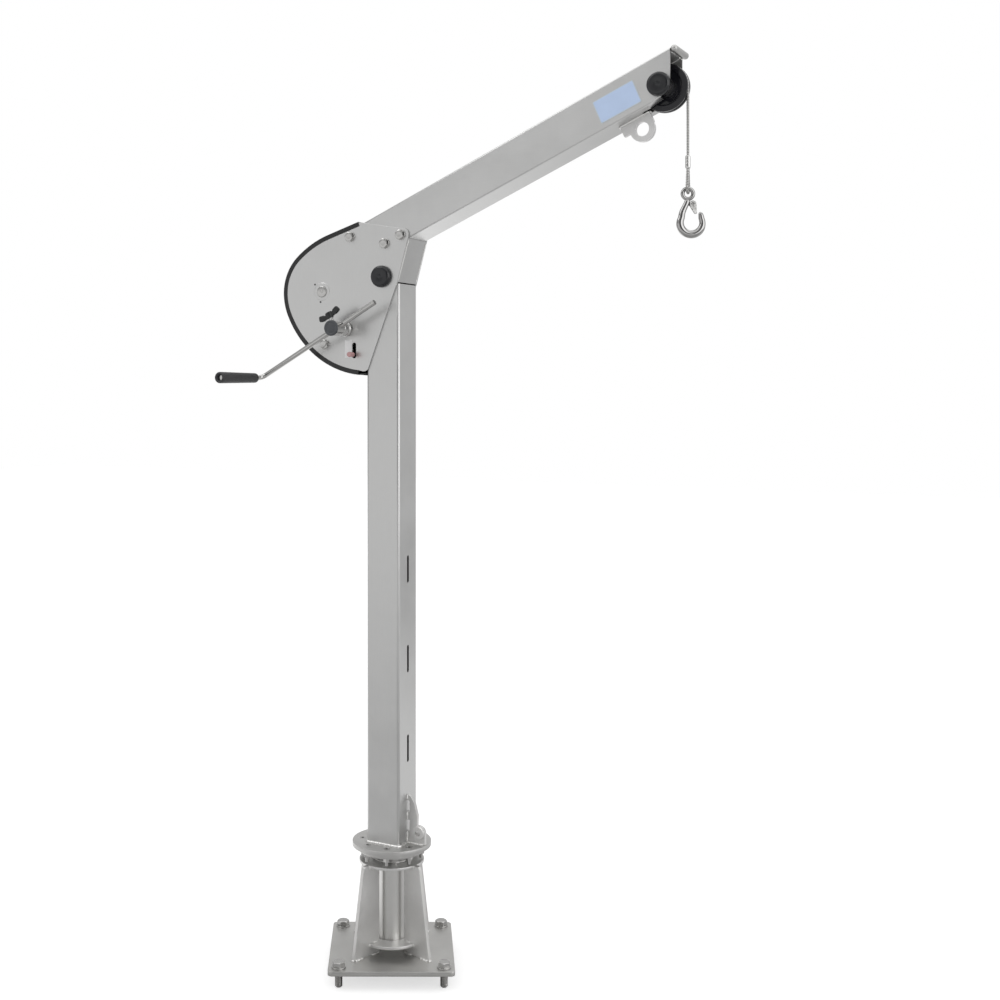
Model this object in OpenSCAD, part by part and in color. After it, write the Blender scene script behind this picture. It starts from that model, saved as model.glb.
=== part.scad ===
// Slewing davit crane: a bolted foot, a turning mast, a hand winch at the mast head, a tilted boom
// with a sheave at its tip, and a wire rope with a latched hook. Millimetres, +Z up.
// The origin is the centre of the base plate's underside, and the boom points along +X.

/* [Foot] */
// Side length of the square base plate
base_w = 265; // [255:5:300]
// Thickness of the base plate
base_t = 10; // [8:1:14]
// Radius of the base plate's corners
base_corner_r = 10; // [4:1:16]
// Distance of the anchor bolts from the base plate's edges
anchor_edge = 22.5; // [20:0.5:28]
// Shank diameter of the anchor bolts
anchor_d = 16; // [12:2:18]
// Length of the anchor bolts that stands out below the base plate
anchor_stand = 30; // [20:2:60]
// Height of the upper ring's top face above the ground
foot_h = 202; // [180:2:240]
// Outer diameter of the two rings that carry the stem
ring_d = 140; // [120:2:150]
// Thickness of the two rings
ring_t = 6; // [5:1:10]
// Gap between the base plate and the lower ring
lower_gap = 19; // [6:1:30]
// Thickness of the four gusset plates
gusset_t = 8; // [5:1:10]
// Distance of the gussets' inner edges from the slewing axis
gusset_inner_r = 41; // [38:1:46]
// Distance of the gussets' outer edges from the slewing axis, at the ground
gusset_outer_r = 115; // [108:1:118]
// Turn of the foot under the boom, in degrees
foot_turn = 29; // [0:1:90]

/* [Swivel] */
// Diameter of the stem that turns in the foot
stem_d = 62; // [56:1:66]
// Wall of the bushes in the two rings
bush_wall = 4; // [3:0.5:5]
// Diameter of the stem's bolting flange
stem_flange_d = 144; // [144:1:156]
// Diameter of the mast's bolting flange
mast_flange_d = 170; // [160:2:190]
// Thickness of each bolting flange
flange_t = 10; // [8:1:14]
// Pitch circle of the flange screws
flange_pcd = 128; // [124:1:132]
// Thread diameter of the flange screws
flange_screw_d = 8; // [6:1:10]

/* [Mast] */
// Outer width of the square mast tube
mast_w = 80; // [76:1:84]
// Wall of the mast tube
mast_wall = 4; // [3:0.5:6]
// Outer corner radius of the mast tube
mast_corner_r = 6; // [6:0.5:9]
// Length of the mast tube
mast_l = 1200; // [1000:10:1500]
// Width of the slots in the mast's front face
slot_w = 8; // [5:0.5:12]
// Length of each slot
slot_l = 59; // [30:1:90]
// Distance between slot centres
slot_pitch = 193; // [120:1:220]
// Height of the lowest slot's centre above the mast's foot
slot_first = 202; // [160:1:260]
// Thickness of the rib at the mast's foot
rib_t = 8; // [5:1:12]

/* [Head] */
// Thickness of the two side plates of the winch case
plate_t = 4; // [3:0.5:6]
// Radius of the side plates' round edge
case_r = 116; // [114:1:124]
// Depth of the case cover round the side plates
cover_t = 10; // [7:1:12]
// Wall of the case cover between the side plates
cover_wall = 3; // [2:0.5:4]
// Diameter of the head pin that holds the case on the mast
head_pin_d = 30; // [24:1:34]
// Diameter of the black caps on the head pin and the tip axle
cap_d = 47; // [42:1:52]
// Height of the caps
cap_h = 12; // [8:1:16]
// Thread diameter of the bolts through the side plates
plate_bolt_d = 12; // [8:1:12]
// Thickness of the knee plate between case and boom
knee_t = 4; // [3:0.5:6]

/* [Boom] */
// Tilt of the boom above the horizontal, in degrees
boom_tilt = 23.4; // [22.5:0.1:24.5]
// Outer height of the boom tube
boom_h = 80; // [76:1:84]
// Wall of the boom tube
boom_wall = 3; // [2.5:0.5:4]
// Reach of the tip axle from the slewing axis
tip_reach = 612; // [560:2:900]
// Height of the tip axle above the boom's underside
tip_rise = 28; // [26:1:30]
// Diameter of the tip sheave
sheave_d = 94; // [90:1:98]
// Width of the tip sheave
sheave_w = 22; // [18:1:28]
// Diameter of the tip axle
tip_axle_d = 24; // [18:1:26]
// Diameter of the guard bar across the boom's end
tip_bar_d = 14; // [12:1:16]
// Outer diameter of the pad eye under the boom
pad_eye_d = 50; // [46:1:54]
// Bore of the pad eye
pad_eye_bore = 28; // [20:1:30]
// Thickness of the pad eye
pad_eye_t = 10; // [6:1:14]

/* [Winch] */
// Module of the gear pair
gear_module = 2.5; // [2.3:0.05:2.6]
// Teeth on the drum's gear
gear_teeth = 62; // [60:1:63]
// Teeth on the crank's pinion
pinion_teeth = 21; // [19:1:22]
// Width of the gear pair
gear_w = 12; // [8:1:14]
// Diameter of the drum's barrel
barrel_d = 50; // [44:1:56]
// Diameter of the drum's flanges
drum_flange_d = 104; // [90:2:112]
// Diameter of the fixed drum axle
drum_axle_d = 24; // [18:1:26]
// Diameter of the crank shaft
crank_shaft_d = 20; // [16:1:20]
// Outer diameter of the crank's hub
hub_d = 32; // [30:0.5:34]
// Distance from the side plate to the outer end of the crank's hub
hub_out = 60; // [56:1:80]
// Diameter of the crank rod
rod_d = 11; // [8:0.5:12]
// Crank radius, from the hub's axis to the grip's axis
crank_r = 220; // [180:5:260]
// Length of the rod's free end past the hub's axis
crank_tail = 110; // [105:1:130]
// Angle of the crank rod above the horizontal, in degrees
crank_angle = 28.8; // [20:0.2:40]
// Diameter of the crank's grip at its free end
grip_d = 24; // [22:0.5:30]
// Length of the crank's grip
grip_l = 133; // [100:1:150]

/* [Rope and hook] */
// Diameter of the wire rope
rope_d = 5; // [4:0.5:5.5]
// Length of rope between the tip sheave and the ferrule
rope_drop_l = 134; // [110:2:300]
// Length of the pressed ferrule
ferrule_l = 27; // [20:1:34]
// Turn of the hook's plane about the rope, in degrees
hook_turn = 29; // [0:1:60]
// Thickness of the hook's bowl
hook_bowl_d = 13.6; // [12:0.2:14]
// Inner width of the hook's bowl
hook_bowl_w = 29.4; // [28:0.2:31]
// Distance from the hook's eye down to the centre of its bowl
hook_l = 56.5; // [54:0.5:62]

/* [Hidden] */
$fn = 64;

// Clearances: running fits per side, bolt holes and seats between moving faces
fit_gap = 0.05;
hole_gap = 0.5;
face_gap = 0.3;
cut = 1;

// Heights from the ground up
lower_ring_z = base_t + lower_gap;
upper_ring_z = foot_h - ring_t;
bush_rim_t = 3;
collar_w = 11;
collar_h = 16;
collar_z = foot_h + bush_rim_t + face_gap;
stem_flange_z = collar_z + collar_h;
mast_flange_z = stem_flange_z + flange_t;
mast_z = mast_flange_z + flange_t;
mast_top = mast_z + mast_l;
half = mast_w / 2;

// Foot
anchor_pitch = base_w - 2 * anchor_edge;
gusset_top_r = gusset_outer_r - 28;
gusset_shoulder = 8;
washer_t = 3;
washer_r = anchor_d * 0.94;
anchor_head_h = anchor_d * 0.62;
anchor_head_r = anchor_d * 0.86;

// Bolting flanges
flange_screw_count = 8;
flange_screw_turn = 19.5;
nut_h = flange_screw_d * 0.85;
screw_end = 9;
screw_head_r = flange_screw_d * 0.95;

// Head: the case's outline is a straight top line and four arcs that run into each other
case_mid = [-125.9, mast_top - 9.8];
case_back = case_mid + 21.6 * [cos(183.7), sin(183.7)];
case_over = case_back - 121 * [cos(131), sin(131)];
case_under = case_mid - 100 * [cos(203.85), sin(203.85)];
case_top_slope = 17.36;
case_top_l = 80.6;
case_low_end = 263.8;
kink_x = half - 2.4;
kink_z = mast_top + 3;
plate_top_z = mast_top + 116;
pin_z = mast_top + 16;
plate_bolt_x = [-79, 7, 45.7, -143];
plate_bolt_rise = [105, 86.5, 103, -127];
bolt_spots = [for (i = [0:3]) [plate_bolt_x[i], mast_top + plate_bolt_rise[i]]];

// Boom: its underside is a line that rises from above the mast's axis
boom_base = mast_top + 68;
boom_back_x = -54;
boom_end_x = tip_reach + 21.5;
boom_drop = boom_h / cos(boom_tilt);
tip_z = under_z(tip_reach) + tip_rise;
sheave_r = sheave_d / 2;
rope_r = rope_d / 2;
groove_r = rope_r + 0.4;
sheave_pitch_r = sheave_r - rope_r;
rope_x = tip_reach + sheave_pitch_r;
eye_x = tip_reach - 45.6;
eye_drop = 28;
pad_plate_h = 22.5;

// Winch: the drum's axis, then the crank's axis from the gear pair
drum_x = -151;
drum_z = mast_top - 11;
gear_r = gear_module * gear_teeth / 2;
pinion_r = gear_module * pinion_teeth / 2;
mesh_angle = -53.5;
crank_x = drum_x + (gear_r + pinion_r) * cos(mesh_angle);
crank_z = drum_z + (gear_r + pinion_r) * sin(mesh_angle);
pressure_angle = 20;
backlash = 0.25;
gear_y = -half + 4;
winding_r = barrel_d / 2 + rope_d;
drum_pitch_r = winding_r + rope_r + face_gap;
barrel_y0 = gear_y + gear_w;
barrel_y1 = half - 6;
drum_flange_t = 4;
shaft_inner_y = -half - plate_t - hub_out + 28;
rod_y = -half - plate_t - hub_out + 18;
rod_bend_r = 15;
grip_y = rod_y - 24;
wheel_w = 6;
wheel_y = -15.5;
wheel_r = 32;
wheel_teeth = 18;
wheel_root_r = 27;
disc_r = 34;
disc_t = 4;

// Lock lever: its pin, arm and the slot in the side plate
lever_x = crank_x - 19;
lever_z = crank_z - 46.9;
lever_l = 40.5;
lever_rest = -12.6;
lever_swing = 30;
lever_pin_r = 3;
lever_slot_r = lever_pin_r + 1.75;
lever_mid = lever_l * (1 + cos(18)) / 2;
nose_tip = [21.7, 8.3];
nose_angle = 51.8;
nose_l = 12;

// Rope end and hook
ferrule_r = rope_d;
ferrule_z = tip_z - rope_drop_l;
eye_ring_tube = 4.2;
eye_ring_r = 10.2;
loop_r = rope_r + 8;
loop_turn = 22;
thimble_t = 1;
thimble_w = 3.4;
hook_eye_z = ferrule_z - ferrule_l - 47.4;
loop_z = hook_eye_z + 1.45 + loop_r;
bowl_r = (hook_bowl_w + hook_bowl_d) / 2;
bowl_x = 6.5;
bowl_z = hook_eye_z - hook_l;
bowl_start = 150;
bowl_end = 395;
tip_r = hook_bowl_d / 2 * 0.8;
latch_x = 9.5;
latch_z = hook_eye_z - 19.5;
latch_t = 3;

function under_z(x) = boom_base + x * tan(boom_tilt);
function arc(c, r, a0, a1, steps) = [for (i = [0:steps]) c + r * [cos(a0 + (a1 - a0) * i / steps),
  sin(a0 + (a1 - a0) * i / steps)]];

// A cylinder along Y, at x and z
module rod_y_axis(r, x, z, y0, y1) {
  translate([x, y0, z])
    rotate([-90, 0, 0])
      cylinder(r = r, h = y1 - y0);
}

// A flat shape drawn in X and Z, given thickness from y0 to y1
module slab(y0, y1) {
  translate([0, y1, 0])
    rotate([90, 0, 0])
      linear_extrude(y1 - y0)
        children();
}

// A round bar between two points of the XZ plane, in the plane y = 0
module bar(r0, r1, a, b) {
  length = norm(b - a);
  translate([a[0], 0, a[1]])
    rotate([0, atan2(b[0] - a[0], b[1] - a[1]), 0])
      cylinder(r1 = r0, r2 = r1, h = length);
}

module rounded_square(w, h, r) {
  square([w - 2 * r, h], center = true);
  square([w, h - 2 * r], center = true);
  for (x = [-1, 1], y = [-1, 1])
    translate([x * (w / 2 - r), y * (h / 2 - r)])
      circle(r);
}

module tube_section(w, h, wall, r) {
  difference() {
    rounded_square(w, h, r);
    rounded_square(w - 2 * wall, h - 2 * wall, max(r - wall, 0.8));
  }
}

module at_anchors() {
  rotate(foot_turn)
    for (x = [-1, 1], y = [-1, 1])
      translate([x * anchor_pitch / 2, y * anchor_pitch / 2, 0])
        children();
}

module at_flange_screws() {
  for (i = [0:flange_screw_count - 1])
    rotate(flange_screw_turn + i * 360 / flange_screw_count)
      translate([flange_pcd / 2, 0, 0])
        children();
}

// Foot

module base_plate() {
  color("silver")
    difference() {
      rotate(foot_turn)
        linear_extrude(base_t)
          rounded_square(base_w, base_w, base_corner_r);
      at_anchors()
        translate([0, 0, -cut])
          cylinder(r = anchor_d / 2 + hole_gap * 2, h = base_t + 2 * cut);
    }
}

module gusset(turn) {
  color("gainsboro")
    difference() {
      rotate([0, 0, foot_turn + turn])
        translate([0, gusset_t / 2, 0])
          rotate([90, 0, 0])
            linear_extrude(gusset_t)
              polygon(concat(
                [[gusset_inner_r, base_t], [gusset_outer_r, base_t]],
                arc([gusset_top_r - gusset_shoulder, foot_h - gusset_shoulder], gusset_shoulder, 8, 90, 8),
                [[gusset_inner_r, foot_h]]
              ));
      for (z = [lower_ring_z, upper_ring_z])
        translate([0, 0, z])
          cylinder(r = ring_d / 2, h = ring_t + (z == upper_ring_z ? cut : 0));
    }
}

module ring(z) {
  color("gainsboro")
    translate([0, 0, z])
      difference() {
        cylinder(r = ring_d / 2, h = ring_t);
        translate([0, 0, -cut])
          cylinder(r = stem_d / 2 + fit_gap + bush_wall, h = ring_t + 2 * cut);
      }
}

module swivel_bushes() {
  bore = stem_d / 2 + fit_gap;
  color("tan") {
    difference() {
      union() {
        translate([0, 0, upper_ring_z])
          cylinder(r = bore + bush_wall, h = ring_t);
        translate([0, 0, foot_h])
          cylinder(r = bore + bush_wall + 6, h = bush_rim_t);
      }
      translate([0, 0, upper_ring_z - cut])
        cylinder(r = bore, h = ring_t + bush_rim_t + 2 * cut);
    }
    translate([0, 0, lower_ring_z])
      difference() {
        cylinder(r = bore + bush_wall, h = ring_t);
        translate([0, 0, -cut])
          cylinder(r = bore, h = ring_t + 2 * cut);
      }
  }
}

module anchor_bolts() {
  color("lightgray")
    at_anchors() {
      translate([0, 0, -anchor_stand])
        cylinder(r = anchor_d / 2, h = anchor_stand);
      translate([0, 0, -cut])
        cylinder(r = anchor_d / 2 - 0.1, h = cut + base_t + washer_t);
      translate([0, 0, base_t + washer_t])
        cylinder(r = anchor_head_r, h = anchor_head_h, $fn = 6);
    }
}

module anchor_washers() {
  color("silver")
    at_anchors()
      translate([0, 0, base_t])
        difference() {
          cylinder(r = washer_r, h = washer_t);
          translate([0, 0, -cut])
            cylinder(r = anchor_d / 2 + hole_gap, h = washer_t + 2 * cut);
        }
}

// Swivel and bolting flanges

module swivel_stem() {
  color("silver")
    translate([0, 0, lower_ring_z - 2])
      cylinder(r = stem_d / 2, h = stem_flange_z - lower_ring_z + 2);
}

module stem_flange() {
  color("silver")
    difference() {
      union() {
        translate([0, 0, stem_flange_z])
          cylinder(r = stem_flange_d / 2, h = flange_t);
        translate([0, 0, collar_z])
          cylinder(r = stem_d / 2 + collar_w, h = collar_h);
      }
      translate([0, 0, collar_z - cut])
        cylinder(r = stem_d / 2, h = collar_h + cut);
      at_flange_screws()
        translate([0, 0, stem_flange_z - cut])
          cylinder(r = flange_screw_d / 2 + hole_gap, h = flange_t + 2 * cut);
    }
}

module mast_flange() {
  color("silver")
    difference() {
      translate([0, 0, mast_flange_z])
        cylinder(r = mast_flange_d / 2, h = flange_t, $fn = 96);
      at_flange_screws() {
        translate([0, 0, mast_flange_z - cut])
          cylinder(r = flange_screw_d / 2 + hole_gap, h = flange_t + 2 * cut);
        translate([0, 0, mast_z - screw_head_r / 2])
          cylinder(r1 = screw_head_r / 2, r2 = screw_head_r, h = screw_head_r / 2 + 0.01);
      }
    }
}

module flange_screws() {
  color("lightgray")
    at_flange_screws()
      difference() {
        union() {
          translate([0, 0, stem_flange_z - nut_h - screw_end])
            cylinder(r = flange_screw_d / 2, h = mast_z - stem_flange_z + nut_h + screw_end - 1);
          translate([0, 0, mast_z - screw_head_r / 2])
            cylinder(r1 = screw_head_r / 2, r2 = screw_head_r, h = screw_head_r / 2);
        }
        translate([0, 0, mast_z - 4])
          cylinder(r = flange_screw_d * 0.4, h = 5, $fn = 6);
      }
}

module flange_nuts() {
  color("lightgray")
    at_flange_screws()
      translate([0, 0, stem_flange_z - nut_h])
        difference() {
          cylinder(r = flange_screw_d * 0.9, h = nut_h, $fn = 6);
          translate([0, 0, -cut])
            cylinder(r = flange_screw_d / 2, h = nut_h + 2 * cut);
        }
}

// Mast

module mast_tube() {
  ear_w = head_pin_d + 18;
  ear_top = pin_z + ear_w / 2;
  color("silver")
    difference() {
      union() {
        translate([0, 0, mast_z])
          linear_extrude(mast_l)
            tube_section(mast_w, mast_w, mast_wall, mast_corner_r);
        for (y = [-half, half - mast_wall]) {
          translate([-ear_w / 2, y, mast_top - cut])
            cube([ear_w, mast_wall, pin_z - mast_top + cut]);
          rod_y_axis(ear_w / 2, 0, pin_z, y, y + mast_wall);
        }
      }
      rod_y_axis(head_pin_d / 2, 0, pin_z, -half - cut, half + cut);
      for (i = [0:2])
        translate([half - mast_wall - cut, 0, mast_z + slot_first + i * slot_pitch])
          rotate([90, 0, 90])
            linear_extrude(mast_wall + 2 * cut) {
              square([slot_w, slot_l - slot_w], center = true);
              for (z = [-1, 1])
                translate([0, z * (slot_l - slot_w) / 2])
                  circle(slot_w / 2, $fn = 32);
            }
    }
}

module foot_rib() {
  boss_r = 15;
  boss = [half + 28, mast_z + 25];
  color("silver") {
    slab(-rib_t / 2, rib_t / 2)
      difference() {
        polygon(concat(
          [[half, mast_z], [boss[0] + boss_r, mast_z]],
          arc(boss, boss_r, 0, 105, 8),
          [[half + 25, mast_z + 61], [half + 18, mast_z + 86], [half + 9, mast_z + 100], [half, mast_z + 104]]
        ));
        for (z = [26, 67.5])
          translate([half - cut, mast_z + z])
            square([6 + cut, 23.5]);
      }
    rod_y_axis(boss_r - 1.5, boss[0], boss[1], -rib_t / 2 - 5, -rib_t / 2 + 1);
  }
}

// Winch case

function swing(c, r, a0, a1, steps) = [for (i = [1:steps]) c + r * [cos(a0 + (a1 - a0) * i / steps),
  sin(a0 + (a1 - a0) * i / steps)]];

// The case's edge, set in by a distance: from its top end round the back to its low end
function case_edge(inset) = let (
    r = case_r + cover_t - inset,
    slope = case_top_slope,
    bend = case_over + (r + 99.4) * [-sin(slope), cos(slope)]
  )
  concat(
    [bend + case_top_l * [cos(slope), sin(slope)]],
    arc(case_over, r + 99.4, 90 + slope, 131, 10),
    swing(case_back, r - 21.6, 131, 183.7, 22),
    swing(case_mid, r, 183.7, 203.85, 8),
    swing(case_under, r + 100, 203.85, case_low_end, 22)
  );

module plate_outline() {
  corner_r = 12;
  corner = [65.3 - corner_r, plate_top_z - corner_r];
  polygon(concat(
    case_edge(cover_t),
    [[-47, mast_top - 186.6], [-41, mast_top - 186.2], [-36, mast_top - 183.5], [-33.5, mast_top - 179.5]],
    [[kink_x, kink_z]],
    arc(corner, corner_r, -15.5, 83, 8),
    [case_edge(0)[0] + [0.5, -1.3]]
  ));
}

module side_plate(y0) {
  difference() {
    slab(y0, y0 + plate_t)
      plate_outline();
    rod_y_axis(head_pin_d / 2, 0, pin_z, y0 - cut, y0 + plate_t + cut);
    rod_y_axis(drum_axle_d / 2, drum_x, drum_z, y0 - cut, y0 + plate_t + cut);
    rod_y_axis(crank_bush_r(), crank_x, crank_z, y0 - cut, y0 + plate_t + cut);
    for (p = bolt_spots)
      rod_y_axis(plate_bolt_d / 2 + hole_gap, p[0], p[1], y0 - cut, y0 + plate_t + cut);
    children();
  }
}

module side_plate_front() {
  color("gainsboro")
    side_plate(-half - plate_t)
      lever_slot();
}

module side_plate_back() {
  color("gainsboro")
    side_plate(half);
}

module lever_slot() {
  low = lever_z + lever_l * sin(lever_rest) - 3;
  high = lever_z + lever_l * sin(lever_rest + lever_swing) + 0.2;
  translate([lever_x + lever_mid - lever_slot_r + 0.02, -half - plate_t - cut, low])
    cube([2 * lever_slot_r - 0.04, plate_t + 2 * cut, high - low]);
  for (z = [low, high])
    rod_y_axis(lever_slot_r, lever_x + lever_mid, z, -half - plate_t - cut, -half + cut);
}

// The band inside the case's edge from one depth to another, longer than the edge by a run at each end
module cover_band(near, far, run) {
  a = case_edge(near);
  b = case_edge(far);
  last = len(a) - 1;
  top = run * [cos(case_top_slope), sin(case_top_slope)];
  low = run * [-sin(case_low_end), cos(case_low_end)];
  polygon(concat(
    [for (i = [0:last]) a[i] + (i == 0 ? top : i == last ? low : [0, 0])],
    [for (i = [last:-1:0]) b[i] + (i == 0 ? top : i == last ? low : [0, 0])]
  ));
}

module case_cover() {
  side = half + plate_t;
  rim = side - plate_t - 6;
  out = [cos(case_low_end), sin(case_low_end)];
  back = 2 * [sin(case_low_end), -cos(case_low_end)];
  low_a = case_edge(0)[len(case_edge(0)) - 1];
  color("dimgray") {
    difference() {
      slab(-side, side)
        cover_band(0, cover_t, 0);
      slab(-rim, rim)
        cover_band(cover_wall, cover_t + 2, 5);
    }
    slab(-side + plate_t, side - plate_t)
      polygon([
        low_a - 0.3 * out + back, [-half - 0.5, low_a[1] - 1.2], [-half - 0.5, low_a[1] + 3.7],
        low_a - (cover_wall - 0.3) * out + back
      ]);
  }
}

module knee_plate() {
  run = (plate_top_z - kink_z) / tan(74.5);
  top_z = under_z(kink_x + 27) - 0.2;
  top_x = kink_x + run * (top_z - kink_z) / (plate_top_z - kink_z);
  color("gainsboro")
    slab(-half, half)
      polygon([
        [kink_x, kink_z], [top_x, under_z(top_x) - 0.2],
        [top_x - knee_t, under_z(top_x - knee_t) - 0.2], [kink_x - knee_t, kink_z]
      ]);
}

// Boom

module boom_tube() {
  mid = boom_h / 2;
  reach = (boom_end_x - boom_back_x) / cos(boom_tilt);
  tip_cut = [tip_reach + 9, under_z(tip_reach) + 8];
  mouth = sheave_w / 2 + 3;
  color("silver")
    difference() {
      translate([0, 0, boom_base])
        rotate([0, -boom_tilt, 0])
          translate([-100, 0, mid])
            rotate([90, 0, 90])
              linear_extrude(reach + 160)
                tube_section(mast_w, boom_h, boom_wall, boom_wall + 1);
      translate([boom_back_x - 200, -half - cut, boom_base - 200])
        cube([200, mast_w + 2 * cut, 400]);
      translate([boom_end_x, -half - cut, tip_z - 200])
        cube([200, mast_w + 2 * cut, 400]);
      slab(-half - cut, half + cut)
        polygon([
          [tip_reach - 24, under_z(tip_reach - 24) - 6], [tip_reach - 24, under_z(tip_reach - 24) + 0.5],
          tip_cut, tip_cut + [8, 5.5], tip_cut + [12.5, 12], tip_cut + [13.5, 15], tip_cut + [60, 15],
          tip_cut + [60, -60]
        ]);
      slab(-mouth, mouth)
        polygon([
          [tip_reach - 43, under_z(tip_reach - 43) - 6], [tip_reach - 43, under_z(tip_reach - 43) + 6],
          [tip_reach + 9, under_z(tip_reach + 9) + 6], [tip_reach + 9, under_z(tip_reach + 9) - 6]
        ]);
      rod_y_axis(tip_axle_d / 2, tip_reach, tip_z, -half - cut, half + cut);
      for (p = [bolt_spots[1], bolt_spots[2]])
        rod_y_axis(plate_bolt_d / 2 + hole_gap, p[0], p[1], -half - cut, half + cut);
    }
}

module plate_bolts() {
  head_h = plate_bolt_d * 0.62;
  out = half + plate_t;
  color("lightgray")
    for (p = bolt_spots) {
      rod_y_axis(plate_bolt_d / 2, p[0], p[1], -out, out + plate_bolt_d);
      translate([p[0], -out - head_h, p[1]])
        rotate([-90, 0, 0])
          cylinder(r = plate_bolt_d * 0.9, h = head_h, $fn = 6);
    }
}

module plate_nuts() {
  out = half + plate_t;
  nut = plate_bolt_d * 0.8;
  color("lightgray")
    for (p = bolt_spots)
      difference() {
        translate([p[0], out, p[1]])
          rotate([-90, 0, 0])
            cylinder(r = plate_bolt_d * 0.9, h = nut, $fn = 6);
        rod_y_axis(plate_bolt_d / 2, p[0], p[1], out - cut, out + nut + cut);
      }
}

module plate_spacers() {
  color("silver")
    for (i = [0:len(bolt_spots) - 1]) {
      p = bolt_spots[i];
      long = i == 1 || i == 2 ? half - boom_wall : half;
      difference() {
        rod_y_axis(plate_bolt_d / 2 + 2, p[0], p[1], -long, long);
        rod_y_axis(plate_bolt_d / 2 + hole_gap, p[0], p[1], -long - cut, long + cut);
      }
    }
}

module head_pin() {
  color("silver")
    rod_y_axis(head_pin_d / 2, 0, pin_z, -half - plate_t, half + plate_t);
}

// A round cap with a rolled edge, its flat back on the plane z = 0
module round_cap(r, h, edge) {
  rotate_extrude($fn = 72)
    union() {
      square([r - edge, h]);
      square([r, h - edge]);
      translate([r - edge, h - edge])
        intersection() {
          circle(edge, $fn = 32);
          square(edge);
        }
    }
}

module pin_caps() {
  color("darkslategray")
    for (p = [[0, pin_z, half + plate_t], [tip_reach, tip_z, half]])
      for (side = [-1, 1])
        translate([p[0], side * p[2], p[1]])
          rotate([-90 * side, 0, 0])
            round_cap(cap_d / 2, cap_h, 4);
}

module tip_axle() {
  spacer_y = sheave_w / 2 + face_gap;
  color("silver") {
    rod_y_axis(tip_axle_d / 2, tip_reach, tip_z, -half, half);
    for (y = [-half + boom_wall, spacer_y])
      difference() {
        rod_y_axis(tip_axle_d / 2 + 4, tip_reach, tip_z, y, y + half - boom_wall - spacer_y);
        rod_y_axis(tip_axle_d / 2, tip_reach, tip_z, y - cut, y + half);
      }
  }
}

module tip_bar() {
  r = tip_bar_d / 2;
  length = mast_w - 12;
  z = under_z(boom_end_x) + boom_drop - 1.5;
  color("silver") {
    rod_y_axis(r, boom_end_x + r, z, -length / 2, length / 2);
    for (y = [-1, 1])
      translate([boom_end_x + r, y * length / 2, z])
        sphere(r, $fn = 32);
  }
}

module pad_eye() {
  eye_z = under_z(eye_x) - eye_drop;
  color("gainsboro")
    difference() {
      union() {
        translate([eye_x, 0, under_z(eye_x)])
          rotate([0, -boom_tilt, 0])
            translate([-50, 0.1 - pad_eye_t / 2, -pad_plate_h])
              cube([65.5, pad_eye_t - 0.2, pad_plate_h]);
        rod_y_axis(pad_eye_d / 2, eye_x, eye_z, -pad_eye_t / 2, pad_eye_t / 2);
      }
      rod_y_axis(pad_eye_bore / 2, eye_x, eye_z, -pad_eye_t / 2 - cut, pad_eye_t / 2 + cut);
    }
}

// Bare plates where the object carries its markings

module rating_plate() {
  size = [90, 0.8, 48];
  x = tip_reach - 85;
  color("lightsteelblue")
    translate([x, -half - size[1], under_z(x) + boom_drop / 2 - 4])
      rotate([0, -boom_tilt, 0])
        translate([-size[0] / 2, 0, -size[2] / 2])
          cube(size);
}

module lock_plate() {
  size = [17.5, 0.6, 38];
  color("white")
    translate([lever_x + lever_mid - lever_slot_r - 1 - size[0], -half - plate_t - size[1], lever_z - 15.5])
      cube(size);
}

// Winch

module drum_axle() {
  out = half + plate_t;
  color("lightgray") {
    rod_y_axis(drum_axle_d / 2, drum_x, drum_z, -out, out);
    for (side = [-1, 1])
      translate([drum_x, side * out, drum_z])
        rotate([-90 * side, 0, 0]) {
          cylinder(r = drum_axle_d / 2 + 8, h = 1.2);
          translate([0, 0, 1.2])
            cylinder(r1 = drum_axle_d / 2 - 1, r2 = drum_axle_d / 2 - 2, h = 3);
        }
  }
}

function crank_bush_r() = crank_shaft_d / 2 + fit_gap + 4;

module crank_bushes() {
  color("tan")
    for (y = [-half - plate_t - 2, half - 2])
      difference() {
        union() {
          rod_y_axis(crank_bush_r(), crank_x, crank_z, y, y + plate_t + 4);
          rod_y_axis(crank_bush_r() + 3, crank_x, crank_z, y < 0 ? y : y + plate_t + 2,
            y < 0 ? y + 2 : y + plate_t + 4);
        }
        rod_y_axis(crank_shaft_d / 2 + fit_gap, crank_x, crank_z, y - cut, y + plate_t + 4 + cut);
      }
}

module lever_pin() {
  color("lightgray") {
    rod_y_axis(4, lever_x, lever_z, -half, wheel_y + wheel_w + 2);
    rod_y_axis(6.5, lever_x, lever_z, -half, wheel_y - face_gap);
    rod_y_axis(6.5, lever_x, lever_z, wheel_y + wheel_w + face_gap, wheel_y + wheel_w + 2);
  }
}

// The rope inside the boom: off the drum's top, straight to the tip sheave and a quarter turn down
module rope_run() {
  span = norm([tip_reach - drum_x, tip_z - drum_z]);
  rise = atan2(tip_z - drum_z, tip_reach - drum_x) + asin((sheave_pitch_r - drum_pitch_r) / span);
  off = [-sin(rise), cos(rise)];
  from = [drum_x, drum_z] + drum_pitch_r * off;
  to = [tip_reach, tip_z] + sheave_pitch_r * off;
  color("lightgray") {
    bar(rope_r - 0.05, rope_r - 0.05, from, to + [cos(rise), sin(rise)]);
    translate([tip_reach, 0, tip_z])
      rotate([90, 0, 0])
        rotate_extrude(angle = 90 + rise, $fn = 64)
          translate([sheave_pitch_r, 0])
            circle(rope_r, $fn = 24);
  }
}

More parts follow.
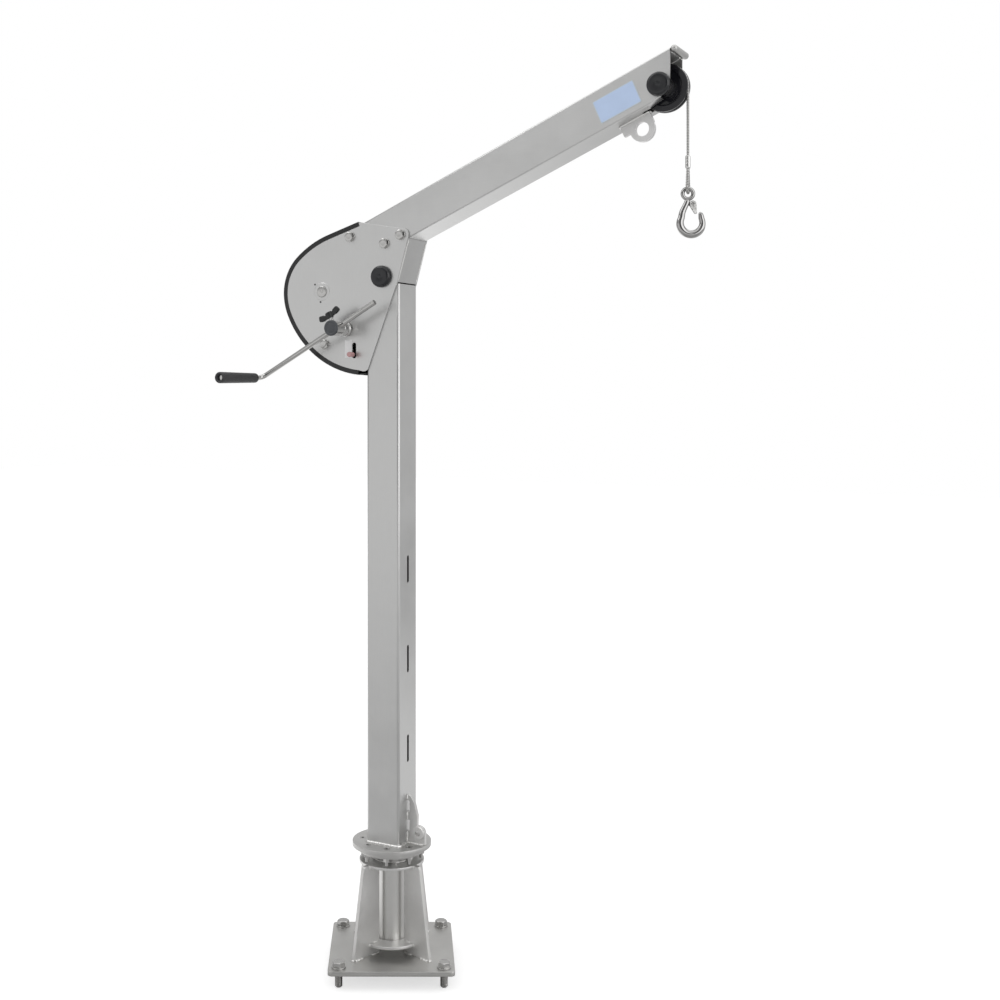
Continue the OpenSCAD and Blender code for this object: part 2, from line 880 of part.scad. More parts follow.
module drum_barrel() {
  color("silver")
    difference() {
      union() {
        rod_y_axis(barrel_d / 2, drum_x, drum_z, barrel_y0, barrel_y1);
        rod_y_axis(drum_flange_d / 2, drum_x, drum_z, barrel_y0, barrel_y0 + drum_flange_t);
        rod_y_axis(drum_flange_d / 2, drum_x, drum_z, barrel_y1 - drum_flange_t, barrel_y1);
      }
      rod_y_axis(drum_axle_d / 2 + fit_gap, drum_x, drum_z, barrel_y0 - cut, barrel_y1 + cut);
    }
}

// Involute tooth shape: half of a tooth's angle at radius r, then the whole outline
function roll(r, base) = sqrt(max(pow(r / base, 2) - 1, 0));
function flank(r, base) = roll(r, base) * 180 / PI - atan(roll(r, base));
function gear_outline(teeth, turn) = let (
    pitch = gear_module * teeth / 2,
    base = pitch * cos(pressure_angle),
    root = pitch - 1.25 * gear_module,
    outer = pitch + gear_module,
    start = max(base, root),
    half_angle = 90 / teeth - backlash / pitch * 90 / PI + flank(pitch, base),
    steps = 4
  )
  [for (t = [0:teeth - 1]) each let (mid = turn + t * 360 / teeth) concat(
    [root * [cos(mid - half_angle + flank(start, base)), sin(mid - half_angle + flank(start, base))]],
    [for (i = [0:steps]) let (r = start + (outer - start) * i / steps, a = mid - half_angle + flank(r, base))
      r * [cos(a), sin(a)]],
    [for (i = [steps:-1:0]) let (r = start + (outer - start) * i / steps, a = mid + half_angle - flank(r, base))
      r * [cos(a), sin(a)]],
    [root * [cos(mid + half_angle - flank(start, base)), sin(mid + half_angle - flank(start, base))]]
  )];

module drum_gear() {
  color("slategray")
    difference() {
      slab(gear_y, gear_y + gear_w)
        translate([drum_x, drum_z])
          polygon(gear_outline(gear_teeth, mesh_angle));
      rod_y_axis(drum_axle_d / 2 + fit_gap, drum_x, drum_z, gear_y - cut, gear_y + gear_w + cut);
    }
}

module rope_winding() {
  color("lightgray")
    difference() {
      rod_y_axis(winding_r, drum_x, drum_z, barrel_y0 + drum_flange_t, barrel_y1 - drum_flange_t);
      rod_y_axis(barrel_d / 2, drum_x, drum_z, barrel_y0, barrel_y1);
    }
}

module crank_shaft() {
  color("silver")
    rod_y_axis(crank_shaft_d / 2, crank_x, crank_z, shaft_inner_y, half + plate_t + 3);
}

module pinion() {
  color("slategray")
    difference() {
      slab(gear_y, gear_y + gear_w)
        translate([crank_x, crank_z])
          polygon(gear_outline(pinion_teeth, mesh_angle + 180 + 180 / pinion_teeth));
      rod_y_axis(crank_shaft_d / 2, crank_x, crank_z, gear_y - cut, gear_y + gear_w + cut);
    }
}

module lock_wheel() {
  pitch = 360 / wheel_teeth;
  gap_mid = -98.2;
  color("slategray")
    difference() {
      slab(wheel_y, wheel_y + wheel_w)
        translate([crank_x, crank_z])
          polygon([for (i = [0:wheel_teeth - 1]) each [
            for (q = [[wheel_root_r, -4.5], [wheel_root_r, 4.5], [wheel_r, 7.5], [wheel_r, pitch - 7.5]])
              q[0] * [cos(gap_mid + i * pitch + q[1]), sin(gap_mid + i * pitch + q[1])]
          ]]);
      rod_y_axis(crank_shaft_d / 2, crank_x, crank_z, wheel_y - cut, wheel_y + wheel_w + cut);
    }
}

module brake_discs() {
  color("dimgray")
    for (y = [wheel_y - 1.5 - disc_t, wheel_y + wheel_w + 1.5])
      difference() {
        union() {
          rod_y_axis(disc_r, crank_x, crank_z, y, y + disc_t);
          rod_y_axis(crank_shaft_d / 2 + 8, crank_x, crank_z, y - 1.5, y + disc_t + 1.5);
        }
        rod_y_axis(crank_shaft_d / 2, crank_x, crank_z, y - 2 - cut, y + disc_t + 2 + cut);
      }
}

// A frame whose +X runs along the crank rod to its free end, at the hub's axis
module at_rod() {
  translate([crank_x, rod_y, crank_z])
    rotate([0, -crank_angle, 0])
      children();
}

module crank_hub() {
  front = -half - plate_t - hub_out;
  back = -half - plate_t - 3;
  color("lightgray")
    difference() {
      rod_y_axis(hub_d / 2, crank_x, crank_z, front, back);
      rod_y_axis(crank_shaft_d / 2, crank_x, crank_z, shaft_inner_y, back + cut);
      at_rod() {
        rotate([0, 90, 0])
          cylinder(r = rod_d / 2 + fit_gap, h = hub_d + 10, center = true);
        cylinder(r = 4, h = hub_d);
      }
    }
}

module hub_cap() {
  color("dimgray")
    translate([crank_x, -half - plate_t - hub_out, crank_z])
      rotate([90, 0, 0])
        round_cap(hub_d / 2 + 1, 4, 2);
}

module wing_screw() {
  color("lightgray")
    at_rod()
      translate([0, 0, rod_d / 2 + 0.1])
        cylinder(r = 3.9, h = 20);
}

module wing_knob() {
  color("darkslategray")
    at_rod()
      translate([0, 0, rod_d / 2 + 20.1])
        difference() {
          union() {
            cylinder(r1 = 7, r2 = 8.5, h = 13);
            for (side = [-1, 1])
              translate([side * 15, 0, 8])
                rotate([90, 0, 0])
                  linear_extrude(7, center = true)
                    polygon(concat(
                      arc([side * 5, 2], 6, side > 0 ? -70 : 250, side > 0 ? 90 : 90, 8),
                      [[-side * 12, 3], [-side * 12, -6]]
                    ));
          }
          translate([0, 0, -cut])
            cylinder(r = 3.9, h = cut + 0.001);
        }
}

module crank_rod() {
  straight = crank_r - rod_bend_r;
  pin_end = grip_y - grip_l + 7;
  color("lightgray")
    at_rod() {
      translate([-straight, 0, 0])
        rotate([0, 90, 0])
          cylinder(r = rod_d / 2, h = straight + crank_tail);
      translate([-straight, -rod_bend_r, 0])
        rotate([0, 0, 90])
          rotate_extrude(angle = 90, $fn = 64)
            translate([rod_bend_r, 0])
              circle(rod_d / 2, $fn = 32);
      translate([-crank_r, pin_end - rod_y, 0])
        rotate([-90, 0, 0])
          cylinder(r = rod_d / 2, h = rod_y - rod_bend_r - pin_end);
    }
}

module crank_grip() {
  bore = rod_d / 2 + 0.08;
  r0 = grip_d / 2 - 1.5;
  r1 = grip_d / 2;
  color("darkslategray")
    at_rod()
      translate([-crank_r, grip_y - rod_y, 0])
        rotate([90, 0, 0])
          rotate_extrude($fn = 72)
            polygon([
              [bore, 0], [r0 - 2, 0], [r0, 2], [r0 + 0.3, 12], [r1, grip_l - 14], [r1, grip_l - 2],
              [r1 - 2, grip_l], [bore, grip_l]
            ]);
}

module lock_lever() {
  along = [cos(lever_rest), sin(lever_rest)];
  across = [-sin(lever_rest), cos(lever_rest)];
  aim = [cos(nose_angle), sin(nose_angle)];
  aside = [-sin(nose_angle), cos(nose_angle)];
  end = lever_l * along;
  color("silver") {
    difference() {
      slab(wheel_y, wheel_y + wheel_w)
        translate([lever_x, lever_z]) {
          circle(7);
          polygon([4 * across, -4 * across, end - 4 * across, end + 4 * across]);
          translate(end)
            circle(4);
          polygon([
            nose_tip + 1.2 * aside, nose_tip - 1.2 * aside, nose_tip - nose_l * aim - 3.5 * aside,
            nose_tip - nose_l * aim + 3.5 * aside
          ]);
        }
      rod_y_axis(4 + fit_gap, lever_x, lever_z, wheel_y - cut, wheel_y + wheel_w + cut);
    }
    rod_y_axis(lever_pin_r, lever_x + end[0], lever_z + end[1], -half - plate_t - 14, wheel_y);
  }
}

module lever_cap() {
  end = lever_l * [cos(lever_rest), sin(lever_rest)];
  y0 = -half - plate_t - 5;
  color("rosybrown")
    difference() {
      translate([lever_x + end[0], y0, lever_z + end[1]])
        rotate([90, 0, 0])
          round_cap(5.6, 19, 2.5);
      rod_y_axis(lever_pin_r, lever_x + end[0], lever_z + end[1], -half - plate_t - 14, y0 + cut);
    }
}

// Tip sheave, rope end and hook

module tip_sheave() {
  hub_r = tip_axle_d / 2 + 7;
  w = sheave_w / 2;
  color("black")
    translate([tip_reach, 0, tip_z])
      rotate([90, 0, 0])
        difference() {
          rotate_extrude($fn = 96)
            difference() {
              polygon([
                [tip_axle_d / 2 + fit_gap, -w], [hub_r, -w], [hub_r, -w + 4], [sheave_r - 13, -w + 4],
                [sheave_r - 11, -w + 1], [sheave_r - 1, -w + 1], [sheave_r, -w + 2], [sheave_r, w - 2],
                [sheave_r - 1, w - 1], [sheave_r - 11, w - 1], [sheave_r - 13, w - 4], [hub_r, w - 4],
                [hub_r, w], [tip_axle_d / 2 + fit_gap, w]
              ]);
              translate([sheave_pitch_r, 0])
                circle(groove_r, $fn = 32);
              translate([sheave_pitch_r, 0])
                polygon([[0, -groove_r], [sheave_r, -groove_r - 6], [sheave_r, groove_r + 6], [0, groove_r]]);
            }
        }
}

module rope_drop() {
  color("lightgray")
    translate([rope_x, 0, ferrule_z])
      cylinder(r = rope_r, h = rope_drop_l, $fn = 24);
}

module rope_ferrule() {
  color("silver")
    translate([rope_x, 0, ferrule_z - ferrule_l])
      cylinder(r = ferrule_r, h = ferrule_l, $fn = 32);
}

// The rope's eye stands across the hook's plane, turned a little about the rope
module across_hook() {
  translate([rope_x, 0, 0])
    rotate([0, 0, hook_turn + 90 - loop_turn])
      children();
}

module rope_eye() {
  top = [rope_r + 0.05, ferrule_z - ferrule_l - loop_z];
  lean = atan2(top[1], top[0]) - acos(loop_r / norm(top));
  color("lightgray")
    across_hook() {
      translate([0, 0, loop_z])
        rotate([90, 0, 0])
          rotate([0, 0, 180 - lean])
            rotate_extrude(angle = 180 + 2 * lean, $fn = 64)
              translate([loop_r, 0])
                circle(rope_r, $fn = 24);
      for (side = [-1, 1])
        bar(rope_r - 0.05, rope_r - 0.05,
          [side * (loop_r * cos(lean) + 0.5 * sin(lean)), loop_z + loop_r * sin(lean) - 0.5 * cos(lean)],
          [side * top[0], loop_z + top[1] - 0.3]);
    }
}

module thimble() {
  inner = loop_r - rope_r - thimble_t;
  color("silver")
    across_hook()
      slab(-thimble_w / 2, thimble_w / 2)
        difference() {
          union() {
            translate([0, loop_z])
              circle(inner + thimble_t - 0.01);
            translate([-inner - thimble_t + 0.01, loop_z])
              square([2 * (inner + thimble_t - 0.01), 1]);
          }
          translate([0, loop_z])
            circle(inner);
          translate([-inner, loop_z])
            square([2 * inner, 10]);
        }
}

module in_hook_plane() {
  translate([rope_x, 0, 0])
    rotate([0, 0, hook_turn])
      children();
}

module lifting_hook() {
  tube = hook_bowl_d / 2;
  start = [bowl_x, bowl_z] + bowl_r * [cos(bowl_start), sin(bowl_start)];
  end = [bowl_x, bowl_z] + bowl_r * [cos(bowl_end), sin(bowl_end)];
  tip = end + [-1, 6];
  neck = [-0.5, hook_eye_z - eye_ring_r];
  color("lightgray")
    in_hook_plane() {
      translate([0, 0, hook_eye_z])
        rotate([90, 0, 0])
          rotate_extrude($fn = 72)
            translate([eye_ring_r, 0])
              circle(eye_ring_tube, $fn = 32);
      bar(tube, eye_ring_tube - 0.3, start, neck);
      translate([start[0], 0, start[1]])
        sphere(tube + 0.15, $fn = 32);
      translate([bowl_x, 0, bowl_z])
        rotate([90, 0, 0])
          rotate([0, 0, bowl_start])
            rotate_extrude(angle = bowl_end - bowl_start, $fn = 72)
              translate([bowl_r, 0])
                circle(tube, $fn = 32);
      translate([end[0], 0, end[1]])
        sphere(tube + 0.15, $fn = 32);
      bar(tube - 0.2, tip_r - 0.2, end, tip);
      translate([tip[0], 0, tip[1]])
        sphere(tip_r, $fn = 32);
      slab(-latch_t / 2 - 0.1, latch_t / 2 + 0.1)
        polygon([[0, latch_z + 4], [latch_x, latch_z + 5], [latch_x + 4.5, latch_z], [latch_x, latch_z - 5],
          [-3, latch_z - 6]]);
      rod_y_axis(2, latch_x, latch_z, -latch_t / 2 - 3.2, latch_t / 2 + 3.2);
    }
}

// The latch: two cheeks beside the hook's ear, joined by a tongue that shuts on the hook's tip
module hook_latch() {
  tongue = [bowl_x + bowl_r * cos(bowl_end) - 1 - tip_r - 2.4, bowl_z + bowl_r * sin(bowl_end) + 5.5];
  pin = [latch_x, latch_z];
  dir = (tongue - pin) / norm(tongue - pin);
  side = [-dir[1], dir[0]];
  inner = latch_t / 2 + 0.4;
  color("gainsboro")
    in_hook_plane() {
      for (y = [-inner - 1.4, inner])
        difference() {
          slab(y, y + 1.4)
            union() {
              translate(pin)
                circle(6.5);
              polygon([pin + 6.2 * side, pin - 6.2 * side, tongue - 1.9 * side, tongue + 1.9 * side]);
            }
          rod_y_axis(2 + fit_gap, latch_x, latch_z, y - cut, y + 1.4 + cut);
        }
      slab(-inner, inner)
        polygon([pin + 9 * dir + 1.9 * side, pin + 9 * dir - 1.9 * side, tongue - 1.9 * side,
          tongue + 1.9 * side]);
    }
}

base_plate();
gusset(225);  // gusset_front
gusset(315);  // gusset_right
gusset(45);  // gusset_back
gusset(135);  // gusset_left
ring(upper_ring_z);  // upper_ring
ring(lower_ring_z);  // lower_ring
swivel_bushes();
anchor_bolts();
anchor_washers();
swivel_stem();
stem_flange();
mast_flange();
flange_screws();
flange_nuts();
mast_tube();
foot_rib();
side_plate_front();
side_plate_back();
case_cover();
knee_plate();
boom_tube();
plate_bolts();
plate_nuts();
plate_spacers();
head_pin();
pin_caps();
tip_axle();
tip_bar();
pad_eye();
rating_plate();
lock_plate();
drum_axle();
crank_bushes();
lever_pin();
rope_run();
drum_barrel();
drum_gear();
rope_winding();
crank_shaft();
pinion();
lock_wheel();
brake_discs();
crank_hub();
hub_cap();
wing_screw();
wing_knob();
crank_rod();
crank_grip();
lock_lever();
lever_cap();
tip_sheave();
rope_drop();
rope_ferrule();
rope_eye();
thimble();
lifting_hook();
hook_latch();
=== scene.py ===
import math
import bmesh
import bpy
from mathutils import Matrix, Vector


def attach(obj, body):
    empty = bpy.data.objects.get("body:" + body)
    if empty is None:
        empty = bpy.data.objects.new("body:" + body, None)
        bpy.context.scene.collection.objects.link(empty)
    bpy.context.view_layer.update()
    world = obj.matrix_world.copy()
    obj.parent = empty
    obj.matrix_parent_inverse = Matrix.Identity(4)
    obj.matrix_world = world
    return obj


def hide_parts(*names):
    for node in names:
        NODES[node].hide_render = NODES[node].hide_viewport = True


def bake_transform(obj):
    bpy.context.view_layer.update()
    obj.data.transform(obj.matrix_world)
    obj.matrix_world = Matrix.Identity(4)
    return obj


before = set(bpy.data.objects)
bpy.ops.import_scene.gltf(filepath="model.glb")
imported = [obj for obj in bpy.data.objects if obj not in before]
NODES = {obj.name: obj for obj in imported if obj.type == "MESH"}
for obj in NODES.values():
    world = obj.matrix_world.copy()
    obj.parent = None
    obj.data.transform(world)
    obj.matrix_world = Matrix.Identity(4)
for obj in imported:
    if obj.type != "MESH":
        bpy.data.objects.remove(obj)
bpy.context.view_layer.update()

MM = 0.001
TAU = 2 * math.pi

# Sizes in millimetres, as in the part's source: half the mast's width, the side plates, and heights
HALF = 40.0
PLATE = 4.0
FACE = HALF + PLATE
BOOM_H = 80.0
MAST_Z = 241.3
MAST_TOP = 1441.3
PIN_Z = MAST_TOP + 16
TILT = math.radians(23.4)
TIP_X = 612.0
BOOM_END = TIP_X + 21.5
PAD_EYE_X = TIP_X - 45.6


def under(x):
    """Height of the boom's underside at x."""
    return MAST_TOP + 68 + x * math.tan(TILT)


TIP_Z = under(TIP_X) + 28
SHEAVE_PITCH = 44.5
DRUM_PITCH = 32.8
ROPE_X = TIP_X + SHEAVE_PITCH
ROPE_R = 2.5
ROPE_LAY = 32.0
FERR_Z = TIP_Z - 134
FERR_L = 27.0
EYE_Z = FERR_Z - FERR_L - 47.4
LOOP_R = 10.5
LOOP_Z = EYE_Z + 1.45 + LOOP_R
EYE_RING, EYE_RING_TUBE = 10.2, 4.2
BOWL_U, BOWL_V, BOWL_R = 6.5, -56.5, 21.5
LATCH_AT = (9.5, -19.5)
DRUM = (-151.0, MAST_TOP - 11)
GEARS_L, GEARS_A = 103.75, math.radians(-53.5)
CRANK = (DRUM[0] + GEARS_L * math.cos(GEARS_A), DRUM[1] + GEARS_L * math.sin(GEARS_A))
CRANK_A = math.radians(28.8)
CRANK_R = 220
ROD_Y = -FACE - 42
GRIP_Y = ROD_Y - 24
GRIP_L = 133.0
FOOT = math.radians(29)
ANCHOR = 110
ANCHOR_DOWN = 30
BOLTS = [(-79, MAST_TOP + 105), (7, MAST_TOP + 86.5), (45.7, MAST_TOP + 103), (-143, MAST_TOP - 127)]
HOOK_TURN = math.radians(29)
LEVER = (CRANK[0] - 19, CRANK[1] - 46.9)
LEVER_REST = math.radians(-12.6)
LEVER_L = 40.5

# Camera at the photograph's place: its turn, place, lens and shift come from the fit to the photo
CAM_YAW = math.radians(29.24)
CAM_AT = (1441.2, -2551.0, 1218.0)
CAM_SENSOR = 36
CAM_FOCAL = 1.35162
CAM_SHIFT = (0.1029, -0.1116)
cam_data = bpy.data.cameras.new("camera")
cam = bpy.data.objects.new("camera", cam_data)
bpy.context.scene.collection.objects.link(cam)
right = Vector((math.cos(CAM_YAW), math.sin(CAM_YAW), 0))
up = Vector((0, 0, 1))
back = Vector((math.sin(CAM_YAW), -math.cos(CAM_YAW), 0))
cam.matrix_world = Matrix.Translation(Vector(CAM_AT) * MM) @ Matrix(
    [[right[i], up[i], back[i], 0] for i in range(3)] + [[0, 0, 0, 1]]
)
cam_data.sensor_width = CAM_SENSOR
cam_data.lens = CAM_SENSOR * CAM_FOCAL
cam_data.shift_x, cam_data.shift_y = CAM_SHIFT
cam_data.clip_start = 0.05
cam_data.clip_end = 100
bpy.context.scene.camera = cam


# Mesh building
class Shape:
    """Vertices in millimetres in the row frame, gathered from lathes, tubes and flat outlines."""

    def __init__(self):
        self.v, self.f = [], []

    def add(self, verts, faces):
        n = len(self.v)
        self.v += [tuple(p) for p in verts]
        self.f += [tuple(i + n for i in f) for f in faces]
        return self

    def lathe(self, profile, origin, axis, steps=48):
        """A profile of (radius, height) turned round the axis; a radius of 0 closes to one point."""
        o, u, v, w = square_to(origin, axis)
        verts, rings = [], []
        for r, h in profile:
            if r <= 1e-6:
                rings.append([len(verts)])
                verts.append(o + w * h)
                continue
            ring = []
            for i in range(steps):
                a = TAU * i / steps
                ring.append(len(verts))
                verts.append(o + w * h + u * (r * math.cos(a)) + v * (r * math.sin(a)))
            rings.append(ring)
        faces = []
        for a, b in zip(rings, rings[1:]):
            for i in range(steps):
                j = (i + 1) % steps
                if len(a) == 1 and len(b) == 1:
                    continue
                if len(a) == 1:
                    faces.append((a[0], b[i], b[j]))
                elif len(b) == 1:
                    faces.append((a[i], b[0], a[j]))
                else:
                    faces.append((a[i], b[i], b[j], a[j]))
        return self.add(verts, faces)

    def tube(self, path, radii, sides=12, normal=None, closed=False, shape=None):
        """A tube along a path, round or with its own section, with one radius or one per point."""
        pts = [Vector(p) for p in path]
        n = len(pts)
        verts, faces = [], []
        last = None
        for i, p in enumerate(pts):
            a = pts[(i - 1) % n] if closed or i else pts[0]
            b = pts[(i + 1) % n] if closed or i < n - 1 else pts[-1]
            t = (b - a).normalized()
            if normal is not None:
                u = Vector(normal[i] if isinstance(normal[0], (list, tuple, Vector)) else normal)
            else:
                u = last if last is not None else t.orthogonal()
            u = (u - t * u.dot(t)).normalized()
            last = u
            w = t.cross(u)
            r = radii[i] if isinstance(radii, list) else radii
            ru, rw = r if isinstance(r, (list, tuple)) else (r, r)
            for k in range(sides):
                c = TAU * k / sides
                x, y = (math.cos(c), math.sin(c)) if shape is None else shape[k]
                verts.append(p + u * (ru * x) + w * (rw * y))
        rows = n if closed else n - 1
        for i in range(rows):
            for k in range(sides):
                a, b = i * sides, ((i + 1) % n) * sides
                faces.append((a + k, b + k, b + (k + 1) % sides, a + (k + 1) % sides))
        if not closed:
            faces.append(tuple(range(sides)))
            faces.append(tuple(reversed(range((n - 1) * sides, n * sides))))
        return self.add(verts, faces)

    def hexhead(self, origin, axis, across, height, turn=0.0, dome=0.0, steps=72):
        """A hexagon head or nut with its chamfered corners; a dome below 0 is a dished top."""
        inner = across / 2 * 0.95

        def edge(a):
            return across / 2 / math.cos((a - turn + math.pi / 6) % (math.pi / 3) - math.pi / 6)

        o, u, v, w = square_to(origin, axis)
        verts, faces = [], []
        for row in range(4):
            for i in range(steps):
                a = TAU * i / steps
                full = edge(a)
                top = height - max(0, full - inner) * math.tan(math.radians(30)) - 0.02
                r, h = [(full, 0), (full, top), (inner, height), (inner * 0.55, height + dome)][row]
                verts.append(o + w * h + u * (r * math.cos(a)) + v * (r * math.sin(a)))
        for row in range(3):
            for i in range(steps):
                j = (i + 1) % steps
                faces.append((row * steps + i, (row + 1) * steps + i, (row + 1) * steps + j, row * steps + j))
        faces.append(tuple(reversed(range(3 * steps, 4 * steps))))
        faces.append(tuple(range(steps)))
        return self.add(verts, faces)

    def plate(self, outline, to_world, t0, t1, bevel=0.0):
        """A flat outline (a list of u, v) given thickness, with its rim stepped in by the bevel."""
        n = len(outline)
        cu = sum(p[0] for p in outline) / n
        cv = sum(p[1] for p in outline) / n
        verts = []
        layers = [(t0, 0.0), (t1 - bevel, 0.0)] + ([(t1, bevel)] if bevel else [])
        for t, inset in layers:
            for pu, pv in outline:
                d = math.hypot(pu - cu, pv - cv) or 1
                k = 1 - inset / d
                verts.append(to_world(cu + (pu - cu) * k, cv + (pv - cv) * k, t))
        faces = []
        for row in range(len(layers) - 1):
            for i in range(n):
                j = (i + 1) % n
                faces.append((row * n + i, row * n + j, (row + 1) * n + j, (row + 1) * n + i))
        faces.append(tuple(reversed(range(n))))
        faces.append(tuple(range((len(layers) - 1) * n, len(layers) * n)))
        return self.add(verts, faces)

    def bead(self, path, width, pitch=2.6, step=1.1, seed=0.0):
        """A weld bead along a polyline: rippled, slightly uneven, and thinner at both ends."""
        pts = resample(path, step)
        radii = []
        for i in range(len(pts)):
            s = i * step
            end = min(1.0, (min(i, len(pts) - 1 - i) + 0.6) / 3.0)
            wob = 1 + 0.10 * math.sin(s * 0.61 + seed) + 0.06 * math.sin(s * 1.7 + 2 * seed)
            ripple = 0.86 + 0.14 * abs(math.sin(math.pi * s / pitch))
            r = width / 2 * wob * ripple * (0.45 + 0.55 * end)
            radii.append((r, r))
        return self.tube(pts, radii, sides=10)

    def make(self, name, body, mat, slot, replaces=(), sharp=38, blend=None, subdivide=0):
        """The mesh object, in metres: smooth but for edges over the sharp angle, riding its body, or baked in place
        when blend is given.
        """
        m = bpy.data.meshes.new(name)
        m.from_pydata([Vector(p) * MM for p in self.v], [], self.f)
        bm = bmesh.new()
        bm.from_mesh(m)
        bmesh.ops.recalc_face_normals(bm, faces=bm.faces)
        for f in bm.faces:
            f.smooth = True
        for e in bm.edges:
            if len(e.link_faces) == 2 and e.calc_face_angle(0) > math.radians(sharp):
                e.smooth = False
        bm.to_mesh(m)
        bm.free()
        o = bpy.data.objects.new(name, m)
        bpy.context.scene.collection.objects.link(o)
        m.materials.append(mat)
        if subdivide:
            s = o.modifiers.new("smooth", "SUBSURF")
            s.levels = s.render_levels = subdivide
        if replaces:
            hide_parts(*replaces)
        if blend:
            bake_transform(o)
        else:
            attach(o, body)
        return o


def square_to(origin, axis):
    """A place, two directions square to the axis, and the axis itself."""
    w = Vector(axis).normalized()
    u = w.orthogonal().normalized() if abs(w.z) > 0.99 else Vector((0, 0, 1)).cross(w).normalized()
    return Vector(origin), u, w.cross(u), w


def resample(path, step):
    """Points at even steps along a polyline, with its last point kept."""
    pts = [Vector(p) for p in path]
    out, carry = [pts[0]], 0.0
    for a, b in zip(pts, pts[1:]):
        length = (b - a).length
        d = step - carry
        while d <= length:
            out.append(a + (b - a) * (d / length))
            d += step
        carry = (carry + length) % step
    if (out[-1] - pts[-1]).length > step * 0.4:
        out.append(pts[-1])
    return out


def arc_xz(cx, cz, r, a0, a1, steps):
    return [
        (cx + r * math.cos(math.radians(a0 + (a1 - a0) * i / steps)), 0,
         cz + r * math.sin(math.radians(a0 + (a1 - a0) * i / steps)))
        for i in range(steps + 1)
    ]


def rounded_rect(w, h, r, steps=6):
    pts = []
    for cx, cy, a in ((w / 2 - r, h / 2 - r, 0), (-w / 2 + r, h / 2 - r, 90), (-w / 2 + r, -h / 2 + r, 180),
                      (w / 2 - r, -h / 2 + r, 270)):
        for i in range(steps + 1):
            q = math.radians(a + 90 * i / steps)
            pts.append((cx + r * math.cos(q), cy + r * math.sin(q)))
    return pts


# Materials, all procedural
def new_material(name, **sockets):
    mat = bpy.data.materials.new(name)
    mat.use_nodes = True
    tree = mat.node_tree
    bsdf = tree.nodes["Principled BSDF"]
    for key, value in sockets.items():
        bsdf.inputs[key.replace("_", " ")].default_value = value
    return mat, tree, bsdf


def coords(tree, scale=(1, 1, 1), turn=(0, 0, 0)):
    tex = tree.nodes.new("ShaderNodeTexCoord")
    mapping = tree.nodes.new("ShaderNodeMapping")
    mapping.inputs["Scale"].default_value = scale
    mapping.inputs["Rotation"].default_value = turn
    tree.links.new(tex.outputs["Object"], mapping.inputs["Vector"])
    return mapping.outputs["Vector"]


def noise(tree, vector, scale, detail=3.0, rough=0.55):
    n = tree.nodes.new("ShaderNodeTexNoise")
    n.inputs["Scale"].default_value = scale
    n.inputs["Detail"].default_value = detail
    n.inputs["Roughness"].default_value = rough
    tree.links.new(vector, n.inputs["Vector"])
    return n.outputs["Fac"]


def spread(tree, value, low, high, a=0.3, b=0.7):
    """A value from a to b spread from low to high."""
    n = tree.nodes.new("ShaderNodeMapRange")
    n.inputs["From Min"].default_value = a
    n.inputs["From Max"].default_value = b
    n.inputs["To Min"].default_value = low
    n.inputs["To Max"].default_value = high
    tree.links.new(value, n.inputs["Value"])
    return n.outputs["Result"]


def tint(tree, value, dark, light, a=0.3, b=0.7):
    """A colour from dark to light as the value goes from a to b."""
    n = tree.nodes.new("ShaderNodeValToRGB")
    n.color_ramp.elements[0].position = a
    n.color_ramp.elements[1].position = b
    n.color_ramp.elements[0].color = (*dark, 1)
    n.color_ramp.elements[1].color = (*light, 1)
    tree.links.new(value, n.inputs["Fac"])
    return n.outputs["Color"]


def bump(tree, bsdf, value, strength, distance):
    n = tree.nodes.new("ShaderNodeBump")
    n.inputs["Strength"].default_value = strength
    n.inputs["Distance"].default_value = distance
    tree.links.new(value, n.inputs["Height"])
    tree.links.new(n.outputs["Normal"], bsdf.inputs["Normal"])


def add(tree, a, b, k):
    """a + k * b"""
    n = tree.nodes.new("ShaderNodeMath")
    n.operation = "MULTIPLY_ADD"
    n.inputs[1].default_value = k
    tree.links.new(b, n.inputs[0])
    tree.links.new(a, n.inputs[2])
    return n.outputs["Value"]


def brushed(name, tone, rough, along=(1, 1, 0.02), turn=(0, 0, 0), vary=0.05, grain=900, depth=0.00002):
    """Brushed steel: fine lines along one direction, with soft cloudy changes of tone."""
    mat, tree, bsdf = new_material(name, Metallic=1.0)
    fine = noise(tree, coords(tree, along, turn), grain, 4, 0.7)
    cloud = noise(tree, coords(tree), 9, 3, 0.6)
    both = add(tree, cloud, fine, 0.55)
    dark = tuple(c * (1 - vary) for c in tone)
    light = tuple(min(1, c * (1 + vary)) for c in tone)
    tree.links.new(tint(tree, both, dark, light, 0.55, 1.0), bsdf.inputs["Base Color"])
    tree.links.new(spread(tree, both, rough - 0.05, rough + 0.07, 0.5, 1.0), bsdf.inputs["Roughness"])
    bump(tree, bsdf, fine, 0.35, depth)
    return mat


def blasted(name, tone, rough, grain=1500):
    """Bead-blasted and pickled steel: an even fine grain with faint stains."""
    mat, tree, bsdf = new_material(name, Metallic=1.0)
    fine = noise(tree, coords(tree), grain, 2, 0.6)
    cloud = noise(tree, coords(tree), 14, 4, 0.65)
    tree.links.new(tint(tree, add(tree, cloud, fine, 0.3), tuple(c * 0.88 for c in tone), tone, 0.45, 0.85),
                   bsdf.inputs["Base Color"])
    tree.links.new(spread(tree, cloud, rough - 0.04, rough + 0.08), bsdf.inputs["Roughness"])
    bump(tree, bsdf, fine, 0.4, 0.00003)
    return mat


